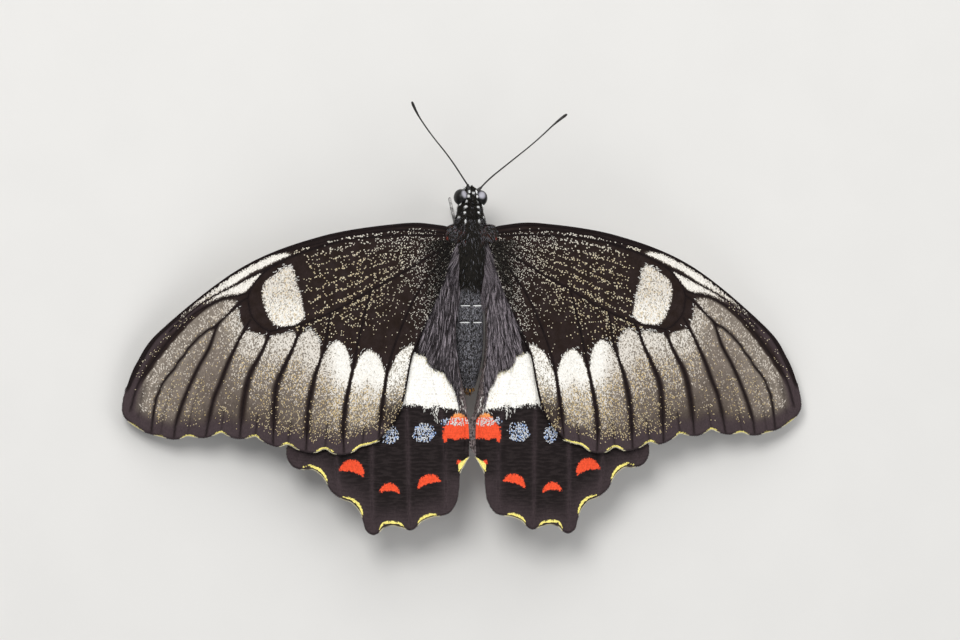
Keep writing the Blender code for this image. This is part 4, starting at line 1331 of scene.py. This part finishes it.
class BUTTERFLY_OT_coat(bpy.types.Operator):
    """Grows the fur of head, collar and thorax and the scales of the abdomen"""
    bl_idname = "butterfly.coat"
    bl_label = "Coat"

    def execute(self, context):
        coat, tints = context.scene.butterfly_coat, context.scene.butterfly_colours
        blade, scale = column([0.5, 0.42, 0.0], 3), column([0.3, 0.55, 0.36], 3)
        hair = fur("body fur", tints.fur_dark, tints.fur_light, tints)
        scaly = fur("abdomen scales", tints.fur_dark, tints.abdomen, tints)
        random = np.random.default_rng(31)
        for name, count, low, high, form, paint, dots in (
                ("head_fur", coat.head_hairs, 15.6, 22.86, blade, hair, HEAD_DOTS),
                ("thorax_fur", coat.hairs, 4.2, 17.0, blade, hair, []),
                ("abdomen_scales", coat.scales, -13.3, 5.6, scale, scaly, ABDOMEN_DASHES)):
            batch, labels, root = self.grow(random, count, low, high, coat, form)
            batches, found, roots = [batch], [labels], [root]
            if form is scale:
                self.tail_tufts(random, blade, batches, found, roots)
            self.white_tufts(random, dots, form, batches, found, roots)
            coat_piece(name, batches, found, paint, roots)
        for side in SIDES:
            self.shoulder(side, blade, hair)
        return {"FINISHED"}

    def grow(self, random, count, low, high, coat, form):
        along, angle = body_roots(random, count, low, high)
        count = len(along)
        roots = body_surface(along, angle, between(COAT_DEPTH, along) + np.where(along < 4.4, -0.02, 0.04))
        up, marks = body_normal(along, angle), body_marks(along, angle)
        clumps = np.stack([sway(roots, random, 1.6) for _ in range(3)], 1)
        chest, face = ramp(along, 4.6, 6.0) * (1 - ramp(along, 15.5, 17.0)), ramp(along, 18.9, 20.0)
        collar = ramp(along, 15.8, 17.0) * (1 - ramp(along, 19.9, 20.6))
        aside = (0.35 + 1.1 * face) * np.sign(roots[:, 0]) * np.abs(np.cos(angle))
        lie = np.stack([aside, -1 + 1.2 * face, 0.4 * face], 1)
        clumped = (0.1 + 0.25 * chest + 0.15 * collar)[:, None] * clumps
        lie = lie + clumped + random.normal(0, 0.12, (count, 3))
        lift = 0.12 + 0.2 * chest + 0.8 * collar + 0.75 * face
        head, thorax, abdomen = coat.head / MM, coat.thorax / MM, coat.abdomen / MM
        long = between([(-13.6, 0.28), (-6, abdomen), (4.2, abdomen), (4.6, 1.6 * thorax),
                        (8.0, thorax), (14.5, thorax), (17.0, 0.8), (19.9, 1.6 * head),
                        (20.6, 1.2 * head), (22.5, head)], along)
        long *= random.uniform(0.65, 1.15, count)
        thick = between([(-13.6, 0.12), (4.4, 0.17), (5.2, 0.075), (15.0, 0.07), (19.0, 0.06),
                         (22.5, 0.055)], along)
        grown = copies(form, roots, combed(lie, up, lift[:, None]), up, long, thick, 0.04, -0.25 * lift)
        flank = ramp(np.abs(np.cos(angle)), 0.25, 0.7)
        front = ramp(along, 11.5, 14.0) * (along < 17.5)
        frost = random.random(count) > 1 - 0.02 - (0.03 + 0.08 * flank) * front
        pale = sum(share * bell(along - ring, 0.1) for ring, share in ABDOMEN_RINGS)
        speckle = np.where(along < 4.4, 0.35 * (random.random(count) < 0.15) + pale, 0.85 * frost)
        tail = (along < 4.4).astype(float)
        flecked = np.where(random.random(count) < 0.3, random.uniform(0.8, 1.2, count),
                           random.uniform(0.05, 0.4, count))
        tone = random.uniform(0.1, 1.0, count) ** 1.3 * (1 - tail) + flecked * tail
        groove = sum(bell(along - line - 0.12, 0.19) for line in SEGMENT_LINES)
        specks = 0.22 * (random.random(count) < 0.05 * flank) * ramp(along, 12.0, 14.0) * chest
        labels = coat_values(form, count, tone * (1 - np.clip(groove, 0, 1) * tail),
                             0.6 if len(form[0]) > 8 else 0.0, fleck=np.clip(speckle, 0, 1), mark=0.8 * marks,
                             red=specks)
        return (form, grown), labels, body_uv(along, angle)

    def white_tufts(self, random, table, form, batches, found, roots):
        """Small dense tufts of white, so that each dot and dash stands clear of the dark coat."""
        for x, y, half_x, half_y in table:
            for turn in (1, -1):
                count = int(1500 * half_x * half_y) + 30
                spot = np.sqrt(random.random((count, 1))) * unit(random.normal(0, 1, (count, 2)))
                spot = spot * (half_x, half_y) + (x, y)
                half = np.interp(spot[:, 1], BODY_PROFILE[:, 0], BODY_PROFILE[:, 1])
                angle = np.arccos(np.clip(spot[:, 0] / np.maximum(half, 0.1), -0.97, 0.9))
                angle = angle if turn > 0 else math.pi - angle
                beyond = np.maximum(spot[:, 0] / 0.97 - half, 0)
                depth = between(COAT_DEPTH, spot[:, 1]) - (0.1 if y < 5 else 0.32) - np.minimum(beyond, 0.5)
                places, up = body_surface(spot[:, 1], angle, depth), body_normal(spot[:, 1], angle)
                lie = np.array((0.0, -1.0, 0.0)) + random.normal(0, 0.2, (count, 3))
                lie = lie + (0.12 if y < 5 else 0.5) * up
                long = (0.14 if y < 5 else 0.26) * random.uniform(0.8, 1.15, count)
                batches.append((form, copies(form, places, lie, up, long, 0.12, 0.05)))
                found.append(coat_values(form, count, np.ones(count), mark=np.ones(count)))
                roots.append(body_uv(spot[:, 1], angle))

    def tail_tufts(self, random, form, batches, found, roots):
        """The dull yellow tufts at the abdomen's end."""
        count = TAIL_HAIRS
        along, angle = random.uniform(-13.3, -12.4, count), random.uniform(0, 2 * math.pi, count)
        places, up = body_surface(along, angle, 0.12), body_normal(along, angle)
        lie = np.array((0.0, -1.0, 0.0)) + 0.25 * up + random.normal(0, 0.15, (count, 3))
        batches.append((form, copies(form, places, lie, up, random.uniform(0.35, 0.8, count), 0.1, 0.05)))
        found.append(coat_values(form, count, random.random(count), warm=0.9 * (random.random(count) < 0.4)))
        roots.append(body_uv(along, angle))

    def shoulder(self, side, form, paint):
        """The furry lobe that covers the forewing's root, with a small red spot at its rear."""
        random = seeded(33, side)
        centre, count = mirrored(SHOULDER_CENTRE, side), SHOULDER_HAIRS
        core = ball(SHOULDER_RADII, centre, 3)
        around = unit(random.normal(0, 1, (count, 3)) + (0, 0, 0.35))
        places, up = around * np.array(SHOULDER_RADII) * 0.97 + centre, unit(around / SHOULDER_RADII)
        lie = np.array((0.55 * SIDES[side], -1.0, -0.1)) + random.normal(0, 0.2, (count, 3))
        long = 0.85 * random.uniform(0.6, 1.1, count)
        hairs = copies(form, places, combed(lie, up, 0.22), up, long, 0.07, 0.04, -0.1)
        red = np.hypot(*(places[:, :2] - mirrored((4.3, 14.0, 0), side)[:2]).T) < 0.36
        labels = coat_values(form, count, random.uniform(0.1, 1.0, count),
                             fleck=0.85 * (random.random(count) < 0.12),
                             red=np.maximum(0.75 * red, 0.25 * (random.random(count) < 0.04)))
        furry_ball("shoulder_lobe", side, [core, (form, hairs)], labels, around, 1, paint)


class BUTTERFLY_OT_long_hair(bpy.types.Operator):
    """Lays the long grey hair over the hindwings' roots and the short brown hair over the forewings'"""
    bl_idname = "butterfly.long_hair"
    bl_label = "Long hair"

    def execute(self, context):
        coat, tints = context.scene.butterfly_coat, context.scene.butterfly_colours
        form = column([0.5, 0.5, 0.38, 0.0], 3)
        grey = fur("long hair", tints.hair_dark, tints.hair_light, tints, 0.5)
        brown = fur("wing root hair", tints.fur_dark, tints.fur_light, tints)
        for side in SIDES:
            random = seeded(41, side)
            flat = self.hindwing_roots(random, coat.long_hairs)
            share = ramp(flat[:, 0], 2.8, 9.0)
            heading = np.stack([0.02 + 0.34 * share + 0.13 * sway(flat * (1, 0.4), random, 1.5),
                                -np.ones(len(flat))], 1)
            heading = heading + random.normal(0, 0.07, (len(flat), 2))
            long = coat.long_hair / MM * random.uniform(0.6, 1.1, len(flat))
            long *= 1 - 0.7 * ramp(-flat[:, 1], 8.0, 13.0)
            tips = flat + unit(heading) * long[:, None]
            free = depth_in(tips, WHITE_PATCH) < 0.5
            flat, heading, long = flat[free], heading[free], long[free]
            batches, labels, roots = self.lay(HINDWING, side, flat, heading, long, 0.1, 0.14, form, random)
            more = self.side_hair(side, random, FLANK_HAIRS, form)
            coat_piece(f"hindwing_hair_{side}", [batches, more[0]], [labels, more[1]], grey,
                       [roots, more[2]])
            flat = random.uniform((3.0, 1.0), (9.0, 13.5), (WING_ROOT_HAIRS, 2))
            chance = (1 - ramp(flat[:, 0], 3.5, 9.0)) * enclosed(flat, wing_ring(FOREWING))
            flat = flat[random.random(len(flat)) < chance]
            heading = unit(flat - (-2.0, 15.0)) + random.normal(0, 0.2, (len(flat), 2))
            long = 1.2 * random.uniform(0.6, 1.1, len(flat))
            batch, labels, roots = self.lay(FOREWING, side, flat, heading, long, 0.07, 0.3, form, random)
            coat_piece(f"forewing_hair_{side}", [batch], [labels], brown, [roots])
        return {"FINISHED"}

    def hindwing_roots(self, random, count):
        flat = random.uniform((2.0, -19.0), (10.0, 11.0), (7 * count, 2))
        outer = between([(-9.0, 9.3), (-1.0, 7.9), (12.0, 4.6)], flat[:, 1])
        inner = between([(-19.0, 0.5), (-16.0, 1.0), (-8.8, 2.3), (-4.0, 2.8), (12.0, 2.9)], flat[:, 1])
        band = (flat[:, 0] > inner) & (flat[:, 0] < outer)
        upper = between([(2.5, -10.6), (4.4, -9.0), (5.8, -8.4), (7.0, -7.0), (8.0, -5.6), (9.5, -5.0)],
                        flat[:, 0])
        strip = (flat[:, 1] > upper) | ((flat[:, 0] < inner + 1.1) & (random.random(len(flat)) < 0.9))
        return flat[band & strip][:count]

    def side_hair(self, side, random, count, form):
        """Long hair from the thorax's flank, which runs back over the hindwing's root to the abdomen."""
        along = random.uniform(3.6, 13.5, count)
        angle = random.uniform(-0.3 + 0.8 * ramp(along, 5.5, 8.0), 0.45 + 0.35 * ramp(along, 6.0, 10.0))
        angle = angle if side == "right" else math.pi - angle
        places, up = body_surface(along, angle, between(COAT_DEPTH, along)), body_normal(along, angle)
        aside = random.uniform(0.0, 0.35, count) + 0.25 * ramp(along, 7.0, 12.0)
        lie = np.stack([SIDES[side] * aside, -np.ones(count), -0.05 * np.ones(count)], 1)
        lie = lie + random.normal(0, 0.07, (count, 3)) + 0.18 * up
        laid = copies(form, places, lie, up, random.uniform(2.2, 4.0, count), 0.12, 0.05, -0.06)
        labels = coat_values(form, count, self.streaks(random, count, side), 0.4)
        return (form, laid), labels, body_uv(along, angle)

    def streaks(self, random, count, side):
        """Part of the hairs are light, more of them on the right, and the others dark."""
        light = random.random(count) < LIGHT_HAIRS[side]
        return np.where(light, random.uniform(0.6, 1.0, count), random.uniform(0.0, 0.16, count))

    def lay(self, wing, side, flat, heading, long, thick, lift, form, random):
        ahead, up = wing_axes(wing, side, flat, unit(heading))
        roots = spread(wing, side, flat, 0.1 + 0.25 * random.random(len(flat)))
        lie = ahead + lift * random.uniform(0.4, 1.2, (len(flat), 1)) * up
        laid = copies(form, roots, lie, up, long, thick, 0.05, -0.1)
        strands = 0.5 + 0.5 * np.sin(9.0 * flat[:, 0] + 2.0 * np.sin(1.1 * flat[:, 1]))
        tone = np.clip(self.streaks(random, len(flat), side) * (0.3 + 1.4 * strands), 0, 1.2)
        return (form, laid), coat_values(form, len(flat), tone, 0.5), wing_uv(flat)


# ----------------------------------------------------------------------------
# Eyes, feelers, mouth and legs
# ----------------------------------------------------------------------------

class BUTTERFLY_OT_eyes(bpy.types.Operator):
    """Makes the two glossy compound eyes, each with a painted highlight on top"""
    bl_idname = "butterfly.eyes"
    bl_label = "Eyes"

    def execute(self, context):
        tints = context.scene.butterfly_colours
        made, tree, surface = material("compound eye", Roughness=0.38, Specular_IOR_Level=0.3)
        vector = place_in_mm(tree)
        cells = node(tree, "TexVoronoi", {"Vector": vector, "Scale": 9.0, "Randomness": 0.15})
        patchy = step(tree, noise(tree, vector, 1.3, 2.0), 0.35, 0.7)
        base = mix(tree, calc(tree, "MULTIPLY", patchy, 0.06), tints.eye, tints.fur_light)
        base = tinted(tree, base, {"painted_highlight": tints.painted_highlight})
        finish(tree, surface, base, calc(tree, "SUBTRACT", 1.0, cells.outputs["Distance"]), 0.006)
        for side in SIDES:
            form, places = ball(EYE_RADII, mirrored(EYE_CENTRE, side), 5)
            # A painted highlight: the eye is painted paler where its surface faces up, ahead and inwards.
            towards = unit(np.array((0.16 - 0.2 * SIDES[side], 0.44, 0.86)))
            painted_highlight = 0.7 * ramp(form[0] @ towards, 0.78, 0.98)[None]
            piece(f"compound_eye_{side}", [(form, places)], made, [f"eye_{side}"], {"painted_highlight": [painted_highlight]})
        return {"FINISHED"}


def feeler_line(side, shares):
    """Places at these even shares of a feeler's length."""
    root, rise, headings = FEELERS[side]
    count, rise = len(shares), math.radians(rise)
    out = np.radians(between(headings, shares))
    steps = np.stack([np.sin(out) * math.cos(rise), np.cos(out) * math.cos(rise),
                      np.full(count, math.sin(rise))], 1)
    return turn_head(mirrored(root + np.cumsum(steps, 0) * FEELER_LENGTH / (count - 1), side))


class BUTTERFLY_OT_feelers(bpy.types.Operator):
    """Makes the two ringed and clubbed feelers"""
    bl_idname = "butterfly.feelers"
    bl_label = "Feelers"

    def execute(self, context):
        tints = context.scene.butterfly_colours
        shell = horn("feeler shell", 0.0, tints, 0.45)
        rings, stalk_rings = 110, 8
        form, stalk = column([1.0] * rings, 10), column([1.0] * stalk_rings, 10)
        shares, low_shares = np.linspace(0, 1, rings), np.linspace(0, 1, stalk_rings)
        for side in SIDES:
            line = feeler_line(side, shares)
            foot = turn_head(mirrored([FEELER_FOOT], side))[0]
            stem = foot + (line[2] - foot) * low_shares[:, None]
            stem = along_path(stalk, stem, between(STALK_RADII, low_shares))
            radii = between(FEELER_RADII, shares) * (1 - 0.1 * (np.arange(rings) % 2))
            piece(f"feeler_{side}", [(form, along_path(form, line, radii)), (stalk, stem)], shell,
                  [f"antenna_{side}"], {"dust_and_highlight": [np.full(1, 0.15), np.full(1, 0.1)]})
        return {"FINISHED"}


class BUTTERFLY_OT_mouth(bpy.types.Operator):
    """Makes the furry palps and the coiled tongue, in the materials of the coat and the feelers"""
    bl_idname = "butterfly.mouth"
    bl_label = "Mouth"

    def execute(self, context):
        hair, shell = bpy.data.materials["body fur"], bpy.data.materials["feeler shell"]
        blade = column([0.5, 0.42, 0.0], 3)
        for side in SIDES:
            random = seeded(51, side)
            centre = mirrored(PALP_CENTRE, side)
            core = ball(PALP_RADII, centre, 3)
            around = unit(random.normal(0, 1, (PALP_HAIRS, 3)))
            roots = turn_head(around * np.array(PALP_RADII) * 0.95 + centre)
            up = unit(around / PALP_RADII)
            lie = np.array((0, 0.5, 0.9)) + 0.2 * random.normal(0, 1, around.shape)
            long = random.uniform(0.22, 0.42, PALP_HAIRS)
            hairs = copies(blade, roots, combed(lie, up, 0.5), up, long, 0.08, 0.04, -0.1)
            white = 0.95 * (around[:, 0] * SIDES[side] > 0.35) * (around[:, 1] > -0.2)
            labels = coat_values(blade, PALP_HAIRS, random.random(PALP_HAIRS), mark=white)
            furry_ball("furry_palp", side, [core, (blade, hairs)], labels, around, 2, hair, [f"palp_{side}"])
        rings = 140
        turns = np.linspace(0, 1, rings)
        angle, radius = turns * 5.6 * math.pi, 0.18 + 0.72 * turns
        coil = np.stack([0.06 * np.sin(turns * 9), radius * np.cos(angle), radius * np.sin(angle)], 1)
        form = column([1.0] * rings, 8)
        path = along_path(form, turn_head(coil + TONGUE_CENTRE), between([(0, 0.05), (1, 0.11)], turns),
                          (1, 0, 0))
        piece("coiled_tongue", [(form, path)], shell, ["proboscis"], {"dust_and_highlight": [np.full(1, 0.0)]})
        return {"FINISHED"}


class BUTTERFLY_OT_legs(bpy.types.Operator):
    """Makes the six jointed legs, with their spines and claws"""
    bl_idname = "butterfly.legs"
    bl_label = "Legs"

    def execute(self, context):
        tints = context.scene.butterfly_colours
        shell = horn("leg shell", 0.24, tints, 0.5)
        for side in SIDES:
            for pair, joints in {"fore": FORELEGS[side], **LEGS}.items():
                joints = [mirrored(joint, side) for joint in joints]
                batches = self.leg(joints, np.random.default_rng(61))
                dust_and_highlight = [np.full(copies_in(*batch), 0.08) for batch in batches]
                # The forelegs' thighs get a painted highlight along one side, laid on in the pale dust
                # colour.
                if pair == "fore":
                    along, over, aside = batches[0][0][0].T
                    lit = ramp(over + aside, -0.2, 0.3)  # one side of the thigh
                    dust_and_highlight[0] = (0.08 + (0.2 + 1.8 * ramp(along, 0.35, 0.8)) * lit)[None]
                piece(f"jointed_leg_{pair}_{side}", batches, shell, [f"leg_{pair}_{side}"],
                      {"dust_and_highlight": dust_and_highlight})
        return {"FINISHED"}

    def leg(self, joints, random):
        hip, knee, ankle, toe = joints
        limb, bead, spine = column([1.0] * 15, 10), column([1.0] * 7, 8), column([0.5, 0.3, 0.0], 4)
        root = hip * (0.35, 1, 1) + (0, 0.25, 1.3)
        shares = np.linspace(0, 1, 15)[:, None]
        thigh = hip + (knee - hip) * shares + np.array((0, 0, 0.25)) * np.sin(math.pi * shares)
        shin, coxa = knee + (ankle - knee) * shares, root + (hip + 0.04 * (knee - hip) - root) * shares
        parts = [(limb, along_path(limb, line, between(radii, shares[:, 0]), (1, 0.3, 0)))
                 for line, radii in ((thigh, THIGH_RADII), (shin, SHIN_RADII), (coxa, COXA_RADII))]
        joints = np.cumsum([0, *TARSUS_LENGTHS])
        for start, end in zip(joints, joints[1:]):
            line = ankle + (toe - ankle) * (start + (end - start) * np.linspace(0, 1, 7)[:, None])
            line[:, 2] += 0.02
            radii = between(TARSUS_RADII, np.linspace(0, 1, 7))
            parts.append((bead, along_path(bead, line, radii)))
        run = unit(toe - ankle)
        aside = np.array((run[1], -run[0], 0.0))
        claws, upwards = np.array([toe, toe]), np.array([(0, 0, 1.0)] * 2)
        reach = run + np.array([[0.5], [-0.5]]) * aside + (0, 0, 0.1)
        parts.append((spine, copies(spine, claws, reach, upwards, 0.42, 0.12, 0.12, -0.3)))
        at = np.sort(random.uniform(0.08, 0.97, SHIN_SPINES))[:, None]
        down = unit(ankle - knee)
        out = unit(np.cross(down, unit(random.normal(0, 1, (SHIN_SPINES, 3)))))
        roots = knee + (ankle - knee) * at + 0.16 * out
        parts.append((spine, copies(spine, roots, down + 0.55 * out, out, 0.42, 0.07, 0.07)))
        return parts


# ----------------------------------------------------------------------------
# Studio
# ----------------------------------------------------------------------------

class BUTTERFLY_OT_stage(bpy.types.Operator):
    """Sets the studio: a pale floor, soft lamps and the camera above"""
    bl_idname = "butterfly.stage"
    bl_label = "Stage"

    def execute(self, context):
        tints = context.scene.butterfly_colours
        made, tree, surface = material("studio floor", Roughness=0.85)
        vector = place_in_mm(tree)
        grain = placed(tree, "Fine grain", fine_grain, {"Vector": vector, "Fineness": 0.2})
        shade = [0.985 * value for value in tints.floor[:3]] + [1]
        finish(tree, surface, mix(tree, grain["Tone"], tints.floor, shade), grain["Height"], 0.02)
        bm = bmesh.new()
        bmesh.ops.create_grid(bm, x_segments=2, y_segments=2, size=2.0)
        mesh = bpy.data.meshes.new("studio_floor")
        bm.to_mesh(mesh)
        bm.free()
        mesh.materials.append(made)
        floor = bpy.data.objects.new("studio_floor", mesh)
        context.scene.collection.objects.link(floor)
        for name, (place, wide, power) in LAMPS.items():
            self.lamp(context, name, place, wide, power)
        world = bpy.data.worlds.new("studio")
        world.use_nodes = True
        sky = world.node_tree.nodes["Background"].inputs
        sky["Color"].default_value, sky["Strength"].default_value = (0.8, 0.83, 0.88, 1), 0.3
        context.scene.world = world
        context.scene.view_settings.view_transform = "Standard"
        lens = bpy.data.cameras.new("camera")
        lens.lens, lens.sensor_width, lens.clip_start, lens.clip_end = 300.0, 36.0, 0.01, 10.0
        camera = bpy.data.objects.new("camera", lens)
        lean = Matrix.Rotation(math.radians(CAMERA_LEAN), 4, "Y")
        camera.matrix_world = Matrix.Translation(CAMERA_AIM) @ lean @ Matrix.Translation(CAMERA_PLACE)
        context.scene.collection.objects.link(camera)
        context.scene.camera = camera
        return {"FINISHED"}

    def lamp(self, context, name, place, wide, power):
        light = bpy.data.lights.new(name, "AREA")
        light.shape, light.size, light.energy = "DISK", wide, power
        made = bpy.data.objects.new(name, light)
        made.location = place
        made.rotation_euler = Vector(place).to_track_quat("Z", "Y").to_euler()
        context.scene.collection.objects.link(made)


# ----------------------------------------------------------------------------
# Add-on
# ----------------------------------------------------------------------------

OPERATORS = (BUTTERFLY_OT_wings, BUTTERFLY_OT_wing_scales, BUTTERFLY_OT_fringe, BUTTERFLY_OT_skin,
             BUTTERFLY_OT_coat, BUTTERFLY_OT_long_hair, BUTTERFLY_OT_eyes, BUTTERFLY_OT_feelers,
             BUTTERFLY_OT_mouth, BUTTERFLY_OT_legs, BUTTERFLY_OT_stage)
GROUPS = {"butterfly_wings": ButterflyWings, "butterfly_coat": ButterflyCoat,
          "butterfly_colours": ButterflyColours}


class BUTTERFLY_PT_panel(bpy.types.Panel):
    """The settings, and a button for each kind of piece"""
    bl_label = "Butterfly"
    bl_space_type = "VIEW_3D"
    bl_region_type = "UI"
    bl_category = "Butterfly"

    def draw(self, context):
        for name, group_type in GROUPS.items():
            for setting in group_type.__annotations__:
                self.layout.prop(getattr(context.scene, name), setting)
        for operator in OPERATORS:
            self.layout.operator(operator.bl_idname)


def register():
    for name, group_type in GROUPS.items():
        bpy.utils.register_class(group_type)
        setattr(bpy.types.Scene, name, PointerProperty(type=group_type))
    for item in (*OPERATORS, BUTTERFLY_PT_panel):
        bpy.utils.register_class(item)


def unregister():
    for item in (*OPERATORS, BUTTERFLY_PT_panel):
        bpy.utils.unregister_class(item)
    for name, group_type in GROUPS.items():
        delattr(bpy.types.Scene, name)
        bpy.utils.unregister_class(group_type)


def main():
    register()
    for operator in OPERATORS:
        getattr(bpy.ops.butterfly, operator.bl_idname.split(".")[1])()


if __name__ == "__main__":
    main()
